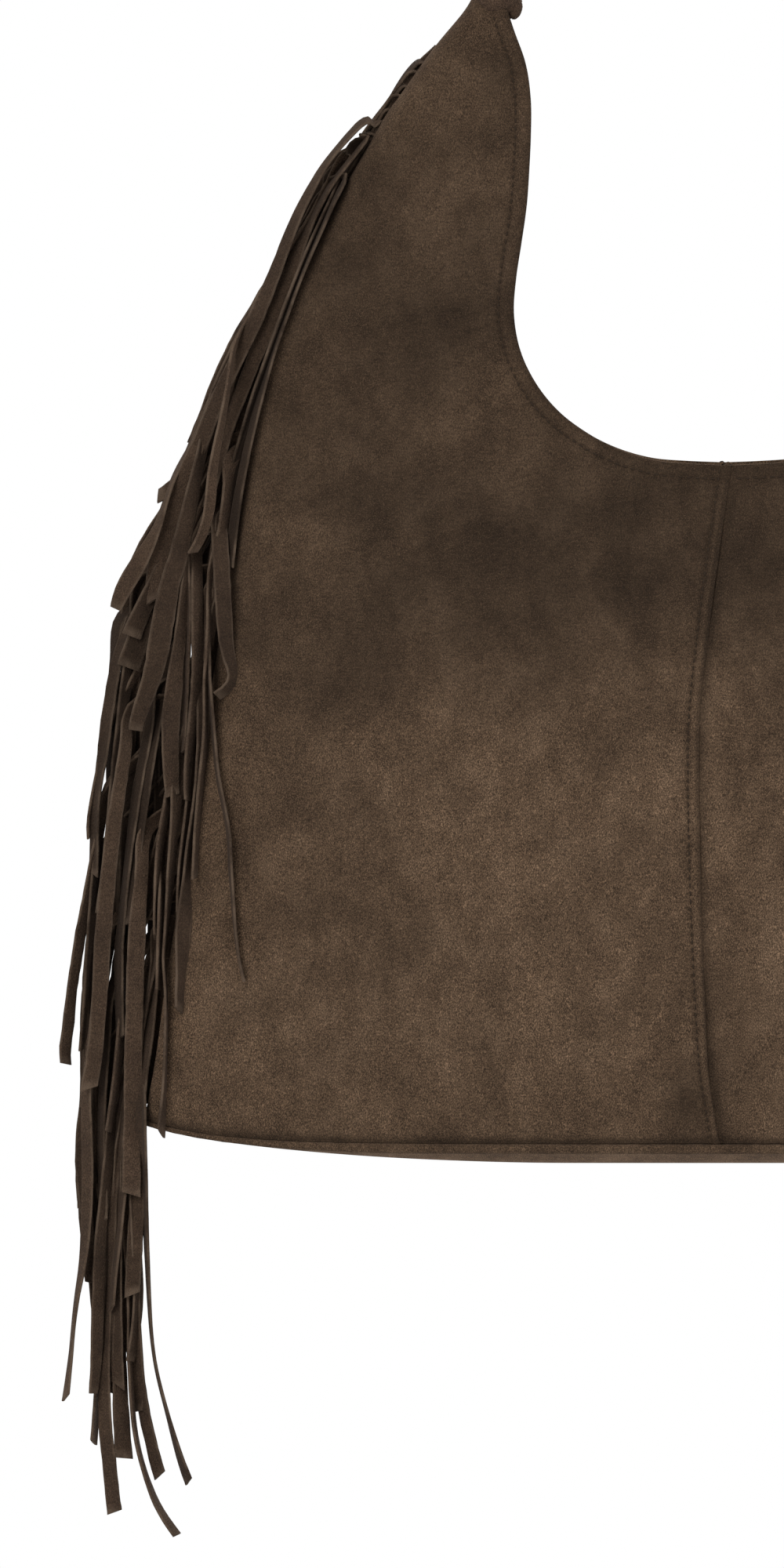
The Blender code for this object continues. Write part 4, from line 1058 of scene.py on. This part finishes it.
def add_thong(parts, centre, shares, widths, twists, tone, slant, cup):
    """One cut strip along a centre line, with its faces to the front where its twist is 0."""
    lengths = arc_lengths(centre)
    total = lengths[-1]
    bend = np.linspace(0, 0.020, 13)[:-1]
    spots = np.concatenate([bend, np.linspace(0.020, total - 0.0005, 46), [total]])
    points = read_along(centre, lengths, spots)
    soften(points)
    heading = unit(np.gradient(points, spots, axis=0))
    share = spots / total
    turn = np.interp(share, shares, twists)
    wide = np.interp(share, shares, widths)
    soften(turn, 2)
    soften(wide, 2)
    flat = unit(np.stack([-heading[:, 2], 0 * spots, heading[:, 0]], axis=-1))
    front = unit(np.cross(flat, heading))
    across = flat * np.cos(turn)[:, None] + front * np.sin(turn)[:, None]
    normal = unit(np.cross(across, heading))
    end = smooth_step((spots - (total - 0.008)) / 0.008)
    rough = [
        np.array([noise.noise(Vector((spot * 260.0, edge + 9.0 * tone, total * 900.0))) for spot in spots])
        for edge in (3.1, 7.7)
    ]
    rings = []
    for u, v in THONG_SECTION:
        bent = cup * (u * u - 0.4)
        half = wide / 2 + THONG_ROUGHNESS * rough[0 if u < 0 else 1]
        offset = across * (u * half)[:, None] + normal * (v * THONG_THICKNESS + bent)
        rings.append(points + offset + heading * (u * slant * end)[:, None])
    rings = np.stack(rings, axis=1)
    rim = np.array([1.0 if abs(u) == 1.0 else (0.60 if abs(u) > 0.8 else 0.0) for u, v in THONG_SECTION])
    rim = np.tile(rim, (len(spots), 1))
    rim[-2:] = np.maximum(rim[-2:], 0.8)
    add_tube(parts, rings, tone=tone, rim=rim)


def turn_for_width(seen, width):
    """Twist at which a strip of that width looks as wide as it is seen."""
    across = math.hypot(width, THONG_THICKNESS)
    lean = math.atan2(THONG_THICKNESS, width)
    seen = np.clip(seen, THONG_THICKNESS * 1.1, None)
    turn = lean + np.arccos(np.clip(seen / across, 0.0, 1.0))
    return turn, np.maximum(width, seen * width / across)


def reach_at(points):
    """How far the fringe may stand out beside points on the side seam."""
    heights, reach = zip(*FRINGE_REACH)
    return np.interp(FRINGE_PATH.at(points)[..., 1], heights, reach)


def thong_depth(path, half_strip, depth, hidden, behind):
    """Depth along a thong: behind until it shows, and in front of the panel where it lies over it."""
    centre = path.points
    travel = path.lengths
    y = behind * smooth_step(travel / 0.012)
    y = y + (depth - behind) * smooth_step((travel - max(hidden - 0.014, 0.004)) / 0.020)
    if depth < 0.0015:
        inner_edge = np.maximum(centre[:, 0] - half_strip, 0.0)
        edge = half_width(centre[:, 1])
        over = smooth_step((edge + 0.0006 - inner_edge) / 0.0020) * (centre[:, 1] > -0.004)
        surface = body_depth(np.minimum(inner_edge, edge), centre[:, 1])
        y = np.minimum(y, -(surface + 0.0012) * over * smooth_step((travel - 0.010) / 0.012))
    soften(y, 12)
    return y


def root_points(root, draw):
    """Where a thong leaves the header, bends over and starts to hang."""
    reach = min(draw.uniform(0.0040, 0.0056), 0.62 * float(reach_at(root + 0.004)))
    bend = 0.72 * reach
    along = np.array([root, root, root + 0.3 * bend, root + bend, root + 2.2 * bend])
    outward = np.array([-0.0010, 0.25 * reach, 0.75 * reach, reach, 1.05 * reach])
    return beside_seam(along, outward), reach


def tuck(along):
    """1 where the thongs lie edge on against the uppermost part of the seam, down to 0."""
    return smooth_step((FRINGE_PATH.at(along)[..., 1] - 0.352) / 0.010)


def led_in(points, root):
    """The points with one more above them, so that the thong comes down straight to the first."""
    start, offset = along_seam(points[0])
    if start - root < 0.030:
        return points
    above = points[0] + (points[0] - points[1]) * 0.018 / np.linalg.norm(points[0] - points[1])
    start, offset = along_seam(above)
    above = beside_seam(start, min(offset, float(reach_at(start)) - REACH_MARGIN))
    return np.vstack([above, points])


def from_picture(points):
    """Distance from the middle and height of points of the picture."""
    columns, rows = np.array(points, float).T
    return np.stack([PICTURE_SEAM_COLUMN - columns, PICTURE_SEAM_ROW - rows], axis=-1) * PICTURE_SCALE


def seen_thong(parts, side, root, thong, draw, varied):
    """A thong whose lower part is given by points; its upper part runs from its root to them."""
    _, depth, tone, points, seen = thong
    points = from_picture(points)
    seen = np.array(seen) * PICTURE_SCALE
    if varied:
        phase = draw.uniform(0, math.tau)
        sway = 0.0022 * np.sin(points[:, 1] / 0.028 + phase) + draw.uniform(-0.002, 0.002)
        points = points + np.stack([sway, np.full(len(points), draw.uniform(-0.006, 0.006))], axis=-1)
        tone = tone + draw.uniform(-0.25, 0.25)
    shown = arc_lengths(points)[-1]
    points = led_in(points, root)
    start, offset = along_seam(points[0])
    upper, reach = root_points(root, draw)
    begin = root + 2.4 * reach
    gap = start - begin
    if gap > 0.010:
        share = np.linspace(0.0, 1.0, max(3, int(gap / 0.012)))[1:-1]
        wander = 0.0010 * np.sin(share * draw.uniform(3.0, 7.0) + draw.uniform(0, 6))
        wander = wander * np.sin(share * math.pi)
        outward = reach + (offset - reach) * share + wander
        spots = begin + gap * share
        outward = np.minimum(outward, reach_at(spots) - REACH_MARGIN * (1 - 0.75 * tuck(spots)))
        upper = np.vstack([upper, beside_seam(spots, outward)])
    path = SmoothPath(np.vstack([upper, points]), per_span=10)
    behind = draw.uniform(0.0005, 0.0030) if offset > 0.008 else depth * 0.0006
    y = thong_depth(path, THONG_WIDTH / 2, depth * MILLIMETRE, path.length - shown, behind)
    ripple = 0.0005 * np.sin(path.lengths / draw.uniform(0.008, 0.014) + draw.uniform(0, 6))
    y = y + ripple * smooth_step(path.lengths / 0.02)
    width = THONG_WIDTH * draw.uniform(0.95, 1.04)
    turn, wide = turn_for_width(seen, width)
    way = draw.choice((-1.0, 1.0))
    share_seen = np.linspace(1.0 - shown / path.length, 1.0, len(seen))
    edge_on = 1.35 * tuck(root)
    hidden = [
        (0.0, edge_on * way),
        (0.010 / path.length, max(0.25, edge_on) * way),
        (0.018 / path.length, max(draw.uniform(0.8, 1.2), edge_on) * way),
        (0.034 / path.length, draw.uniform(0.4, 1.2) * way),
    ]
    hidden = [(share, twist) for share, twist in hidden if share < share_seen[0] - 0.01]
    shares = np.concatenate([[share for share, _ in hidden], share_seen])
    twists = np.concatenate([[twist for _, twist in hidden], way * turn])
    widths = np.concatenate([np.full(len(hidden), width), wide])
    centre = place(side * path.points[:, 0], y, path.points[:, 1])
    slant = draw.uniform(-0.0018, 0.0018)
    cup = draw.uniform(-0.00030, 0.00030)
    # Painted shade: thongs rooted in the tucked top of the seam are made darker.
    tone = 1.4 * tone - 0.4 * tuck(root)
    add_thong(parts, centre, shares, widths, -side * twists, tone, slant, cup)


def inner_thong(parts, side, root, part, draw):
    """A thong deeper in the bunch, which the ones in front mostly hide."""
    length = THONG_LENGTH + draw.uniform(-0.014, 0.008)
    upper, start = root_points(root, draw)
    travel = np.linspace(0.014, length - 0.008, 14)
    widest = reach_at(root + travel)
    ease = smooth_step(travel / 0.050)
    wander = 0.0012 * np.sin(travel / draw.uniform(0.012, 0.022) + draw.uniform(0, 6)) * ease
    outward = np.maximum(part * widest, 0.0026) * ease + start * (1 - ease) + wander
    outward = np.minimum(outward, widest - 0.0029 * (1 - 0.75 * tuck(root + travel)))
    path = SmoothPath(np.vstack([upper, beside_seam(root + travel, outward)]), per_span=10)
    depth = draw.uniform(0.0015, 0.0080)
    y = depth * smooth_step(path.lengths / 0.030)
    y = y + 0.0005 * np.sin(path.lengths / 0.011 + draw.uniform(0, 6)) * smooth_step(path.lengths / 0.02)
    count = 9
    shares = np.linspace(0.0, 1.0, count)
    way = draw.choice((-1.0, 1.0))
    edge_on = 1.35 * tuck(root)
    twists = [edge_on * way, max(0.9, edge_on) * way]
    twists += [draw.gauss(0.50, 0.45) * way for _ in range(count - 2)]
    widths = np.array([THONG_WIDTH * draw.uniform(0.94, 1.04) for _ in range(count)])
    centre = place(side * path.points[:, 0], y, path.points[:, 1])
    slant = draw.uniform(-0.0018, 0.0018)
    # Painted shade: thongs deep in the bunch get a dark tone.
    add_thong(parts, centre, shares, widths, np.array(twists), draw.uniform(-0.9, -0.4), slant, 0.0001)


def thong_roots():
    """Places of the roots along the seam, and which of them each given thong takes."""
    pitch = (SIDE_PATH.length - HEADER_TOP_INSET - HEADER_BOTTOM_INSET) / THONG_COUNT
    slots = [HEADER_TOP_INSET + pitch * (index + 0.5) for index in range(THONG_COUNT)]
    wanted = []
    for number, (root_row, _, _, points, _) in enumerate(THONGS):
        points = from_picture(points)
        if root_row is None:
            start, offset = along_seam(points[0])
            left = THONG_LENGTH - arc_lengths(points)[-1]
            rise = math.sqrt(max(left**2 - offset**2, 0.0))
            wanted.append((start - max(rise, LEAST_RISE * offset), number))
        else:
            heights = FRINGE_PATH.points[::-1, 1]
            root_height = (PICTURE_SEAM_ROW - root_row) * PICTURE_SCALE
            wanted.append((float(np.interp(root_height, heights, FRINGE_PATH.lengths[::-1])), number))
    taken = {}
    free = list(slots)
    for root, number in sorted(wanted):
        nearest = min(free, key=lambda slot: abs(slot - root))
        free.remove(nearest)
        taken[number] = nearest
    return taken, free


def add_header(parts, side):
    """The strip that is sewn into the side seam and carries the thongs."""
    along = np.linspace(HEADER_TOP_INSET - 0.004, SIDE_PATH.length - HEADER_BOTTOM_INSET, 260)[:, None]
    shown = 0.0012 * smooth_step((along - along[0]) / 0.008)
    outward = -0.004 + (0.004 + shown) * np.linspace(0.0, 1.0, 6)[None, :]
    flat = beside_seam(along + 0 * outward, outward + 0 * along)
    grid = place(side * flat[..., 0], -HEADER_THICKNESS / 2, flat[..., 1])
    # Painted shade: the header is darkened where it sits deep in the side seam.
    add_sheet(parts, grid, HEADER_THICKNESS, (0.0, -1.0, 0.0), tone=-0.7)


def make_fringe(side, materials):
    label = "left" if side < 0 else "right"
    draw = random.Random(23 + side)
    parts = MeshParts()
    add_header(parts, side)
    taken, free = thong_roots()
    for number, thong in enumerate(THONGS):
        seen_thong(parts, side, taken[number], thong, draw, varied=side > 0)
    for number, root in enumerate(free):
        part = 0.20 + 0.74 * ((number + 1) * GOLDEN_SHARE % 1.0) ** 0.6
        inner_thong(parts, side, root, part, draw)
    parts.build(f"suede_{label}_fringe", materials["fringe"], "fringe_suede", f"{label}_fringe", sharp=50)


# Strap

STRAP_WIDTH = 0.025
STRAP_THICKNESS = 0.0032
STRAP_NECK_WIDTH = 0.013
STRAP_TAPER_LENGTH = 0.050
STRAP_CROWN = 0.0012
STRAP_LEG_POINTS = (
    (0.0800, 0.4120),
    (0.0700, 0.4560),
    (0.0570, 0.5050),
    (0.0460, 0.5460),
    (0.0280, 0.5830),
)
KNOT_CENTRE = (0.0818, 0.4086)


def strap_surface():
    """Grid of the strap's outer face, with raised folded edges beside the stitch lines."""
    crest = (0.0, STRAP_CREST_HEIGHT + STRAP_THICKNESS / 2)
    left = [(-x, height) for x, height in STRAP_LEG_POINTS]
    right = [(x, height) for x, height in reversed(STRAP_LEG_POINTS)]
    path = SmoothPath(left + [crest] + right)
    distance = np.linspace(0.0, path.length, 260)
    spot = path.at(distance)
    heading = path.tangent(distance)
    normal = np.stack([-heading[:, 1], heading[:, 0]], axis=-1)
    near_end = np.minimum(distance, path.length - distance) / STRAP_TAPER_LENGTH
    width = STRAP_NECK_WIDTH + (STRAP_WIDTH - STRAP_NECK_WIDTH) * smooth_step(near_end)
    share = np.linspace(-1.0, 1.0, 41)[None, :]
    from_edge = (1 - np.abs(share)) * width[:, None] / 2
    lift = STRAP_THICKNESS / 2 - STRAP_CROWN * share**2
    lift = lift - 0.00035 * bell(from_edge - 0.0026, 0.0006)
    gather = 0.0007 * np.cos(share * 11.0) * (1 - smooth_step(near_end))[:, None]
    ripple = 0.0003 * waves(distance[:, None], share * 0.012, 0.014, 5.0)
    lift = lift + gather + ripple
    raised = spot[:, None] + normal[:, None] * lift[..., None]
    y = share * width[:, None] / 2
    grid = place(raised[..., 0], y, raised[..., 1])
    return grid, normal, distance, width


def knot_band(parts, centre, major, minor, tilt, spin, lean, seed):
    """A wrapped band of the knot, flattened against its core, with long creases."""
    turns = 96
    around = 22
    matrix = (
        Matrix.Translation(centre)
        @ Matrix.Rotation(spin, 4, "Z")
        @ Matrix.Rotation(tilt, 4, "Y")
        @ Matrix.Rotation(lean, 4, "X")
    )
    rings = []
    for step in range(turns):
        angle = math.tau * step / turns
        out = Vector((math.cos(angle) * major[0], math.sin(angle) * major[1], 0.0))
        radial = Vector((math.cos(angle), math.sin(angle), 0.0))
        ring = []
        for turn in range(around):
            phi = math.tau * turn / around
            crease = noise.noise(Vector((math.cos(angle) * 1.3, math.sin(angle) * 1.3, phi * 1.1 + seed)))
            fine = noise.noise(Vector((math.cos(angle) * 4.0, math.sin(angle) * 4.0, phi * 2.4 + seed)))
            swell = 1.0 + 0.16 * crease + 0.08 * fine
            point = out + radial * (math.cos(phi) * minor[0] * swell)
            point.z += math.sin(phi) * minor[1] * swell
            ring.append(matrix @ point)
        rings.append(ring)
    add_tube(parts, rings, closed=True)


def add_knot(parts, side):
    """The horn's tip and the strap's end tied in one knot: two wraps and a crossing turn."""
    base = Vector(place(side * KNOT_CENTRE[0], 0.0, KNOT_CENTRE[1]))
    bands = (
        ((0.0, 0.0, -0.0012), (0.0054, 0.0072), (0.0038, 0.0044), -11, 0.0, 0, 1.0),
        ((0.0, 0.0, 0.0068), (0.0050, 0.0066), (0.0036, 0.0040), 14, 0.3, 6, 4.0),
        ((-0.0064, -0.0024, -0.0042), (0.0007, 0.0024), (0.0022, 0.0038), -12, 0.0, 0, 12.0),
        ((-0.0015, -0.0006, 0.0026), (0.0066, 0.0078), (0.0030, 0.0036), 62, 0.2, 18, 8.0),
    )
    for (x, y, height), major, minor, tilt, spin, lean, seed in bands:
        centre = base + Vector((side * x, y, height))
        tilt = side * math.radians(tilt)
        knot_band(parts, centre, major, minor, tilt, spin, math.radians(lean), seed)
    rings = []
    for step in range(26):
        share = step / 25
        height = -0.0055 + 0.022 * share
        radius = 0.0030 + 0.0045 * math.sin(math.pi * min(1.0, 0.15 + share * 0.8))
        ring = []
        for turn in range(36):
            angle = math.tau * turn / 36
            fold = 1.0 + 0.14 * math.cos(angle * 7 + share * 2.0) + 0.06 * math.cos(angle * 3 + 1)
            spot = Vector((math.cos(angle) * radius * fold, math.sin(angle) * radius * fold * 1.1, height))
            ring.append(base + spot)
        rings.append(ring)
    add_tube(parts, rings)


def make_strap(materials):
    parts = MeshParts()
    grid, normal, distance, width = strap_surface()
    add_sheet(parts, grid, STRAP_THICKNESS, (0.0, 0.0, 1.0), rim_steps=7)
    for side in (-1, 1):
        add_knot(parts, side)
    parts.build("suede_strap", materials["strap"], "suede", "strap")
    stitches = MeshParts()
    inner = np.flatnonzero((distance > 0.022) & (distance < distance[-1] - 0.022))
    for edge in (-1, 1):
        share = edge * (1 - 2 * 0.0026 / width[inner])
        column = (share + 1) / 2 * (grid.shape[1] - 1)
        low = np.floor(column).astype(int)
        blend = (column - low)[:, None]
        points = grid[inner, low] * (1 - blend) + grid[inner, low + 1] * blend
        normals = np.stack([normal[inner, 0], 0 * inner, normal[inner, 1]], axis=-1)
        add_stitches(stitches, points, normals)
    stitches.build("strap_stitching", materials["thread"], "suede")


# Studio


def area_light(name, location, target, size, energy):
    lamp = bpy.data.lights.new(name, "AREA")
    lamp.shape = "RECTANGLE"
    lamp.size, lamp.size_y = size
    lamp.energy = energy
    holder = bpy.data.objects.new(name, lamp)
    holder.location = location
    aim = Vector(target) - Vector(location)
    holder.rotation_euler = aim.to_track_quat("-Z", "Y").to_euler()
    bpy.context.scene.collection.objects.link(holder)


def seen_directly(tree):
    """1 for what the camera sees itself, in a mirror or through glass, and 0 for diffuse light."""
    rays = tree.nodes.new("ShaderNodeLightPath")
    seen = rays.outputs["Is Camera Ray"]
    for name in ("Is Glossy Ray", "Is Transmission Ray"):
        total = tree.nodes.new("ShaderNodeMath")
        total.operation = "ADD"
        total.use_clamp = True
        tree.links.new(seen, total.inputs[0])
        tree.links.new(rays.outputs[name], total.inputs[1])
        seen = total.outputs["Value"]
    return seen


def fade_to_white(nodes, near, far):
    """Lets a floor run out into the white backdrop between two distances from its middle."""
    tree = nodes.tree
    spot = tree.nodes.new("ShaderNodeTexCoord")
    radius = tree.nodes.new("ShaderNodeVectorMath")
    radius.operation = "LENGTH"
    tree.links.new(spot.outputs["Object"], radius.inputs[0])
    fade = nodes.remap(radius.outputs["Value"], near, far)
    glow = tree.nodes.new("ShaderNodeEmission")
    mix = tree.nodes.new("ShaderNodeMixShader")
    tree.links.new(nodes.math("MULTIPLY", fade, seen_directly(tree)), mix.inputs["Fac"])
    tree.links.new(nodes.shader.outputs["BSDF"], mix.inputs[1])
    tree.links.new(glow.outputs["Emission"], mix.inputs[2])
    tree.links.new(mix.outputs["Shader"], tree.nodes["Material Output"].inputs["Surface"])


def make_studio():
    middle = (-0.10, 0.0, -0.45)
    area_light("key", (-1.3, -2.3, 0.9), middle, (1.4, 1.8), 38.0)
    area_light("fill", (1.9, -1.9, 0.0), middle, (1.6, 1.8), 17.0)
    area_light("top", (0.0, 0.3, 1.9), middle, (2.0, 2.0), 22.0)
    area_light("behind", (0.6, 2.3, 0.7), middle, (1.8, 1.6), 20.0)
    world = bpy.data.worlds.new("studio")
    bpy.context.scene.world = world
    world.use_nodes = True
    tree = world.node_tree
    ambient = tree.nodes["Background"]
    ambient.inputs["Color"].default_value = (1.0, 1.0, 1.0, 1.0)
    ambient.inputs["Strength"].default_value = 0.27
    backdrop = tree.nodes.new("ShaderNodeBackground")
    backdrop.inputs["Color"].default_value = (1.0, 1.0, 1.0, 1.0)
    backdrop.inputs["Strength"].default_value = 1.0
    mix = tree.nodes.new("ShaderNodeMixShader")
    tree.links.new(seen_directly(tree), mix.inputs["Fac"])
    tree.links.new(ambient.outputs["Background"], mix.inputs[1])
    tree.links.new(backdrop.outputs["Background"], mix.inputs[2])
    tree.links.new(mix.outputs["Shader"], tree.nodes["World Output"].inputs["Surface"])
    bpy.ops.mesh.primitive_plane_add(size=5.0, location=(-0.1, 0.0, -0.995))
    floor = bpy.context.object
    floor.name = "studio_floor"
    material = bpy.data.materials.new("studio_floor")
    nodes = Nodes(material)
    cloud = nodes.noise(3.0, 2.0, 0.5)
    colour = nodes.mix(nodes.remap(cloud, 0.3, 0.7), (0.80, 0.80, 0.80, 1.0), (0.83, 0.83, 0.83, 1.0))
    nodes.finish(colour, nodes.remap(cloud, 0.3, 0.7, 0.8, 0.9), nodes.bump(cloud, 0.0002, 0.1))
    fade_to_white(nodes, 0.1, 1.4)
    floor.data.materials.append(material)


def make_camera():
    data = bpy.data.cameras.new("photo_view")
    data.sensor_width = 36.0
    data.lens = 36.0 * CAMERA_DISTANCE / IMAGE_HEIGHT
    data.clip_end = 50.0
    camera = bpy.data.objects.new("photo_view", data)
    camera.location = (CAMERA_CENTRE[0], -CAMERA_DISTANCE, CAMERA_CENTRE[1])
    camera.rotation_euler = (math.pi / 2, 0.0, 0.0)
    bpy.context.scene.collection.objects.link(camera)
    bpy.context.scene.camera = camera
    bpy.context.scene.view_settings.view_transform = "Standard"


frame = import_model()
MATERIALS = {
    "suede": suede(
        "brown_suede",
        (0.058, 0.036, 0.0218, 1.0),
        (0.086, 0.054, 0.0328, 1.0),
        (0.117, 0.075, 0.0465, 1.0),
    ),
    "strap": suede(
        "strap_suede",
        (0.055, 0.034, 0.022, 1.0),
        (0.074, 0.046, 0.030, 1.0),
        (0.094, 0.060, 0.040, 1.0),
        speckled=0.7,
    ),
    "fringe": suede(
        "fringe_suede_cut",
        (0.043, 0.027, 0.018, 1.0),
        (0.059, 0.037, 0.024, 1.0),
        (0.076, 0.048, 0.031, 1.0),
        cut_edge=(0.150, 0.106, 0.074, 1.0),
        speckled=0.6,
    ),
    "lining": woven("dark_lining", (0.042, 0.030, 0.022, 1.0), (0.060, 0.044, 0.033, 1.0)),
    "thread": thread("brown_thread", (0.040, 0.026, 0.0165, 1.0)),
    "brass": aged_brass("antique_brass"),
}
make_camera()
make_body(MATERIALS)
make_facings(MATERIALS)
make_linings(MATERIALS)
make_base(MATERIALS)
make_snaps(MATERIALS)
make_fringe(-1, MATERIALS)
make_fringe(1, MATERIALS)
make_strap(MATERIALS)
make_studio()
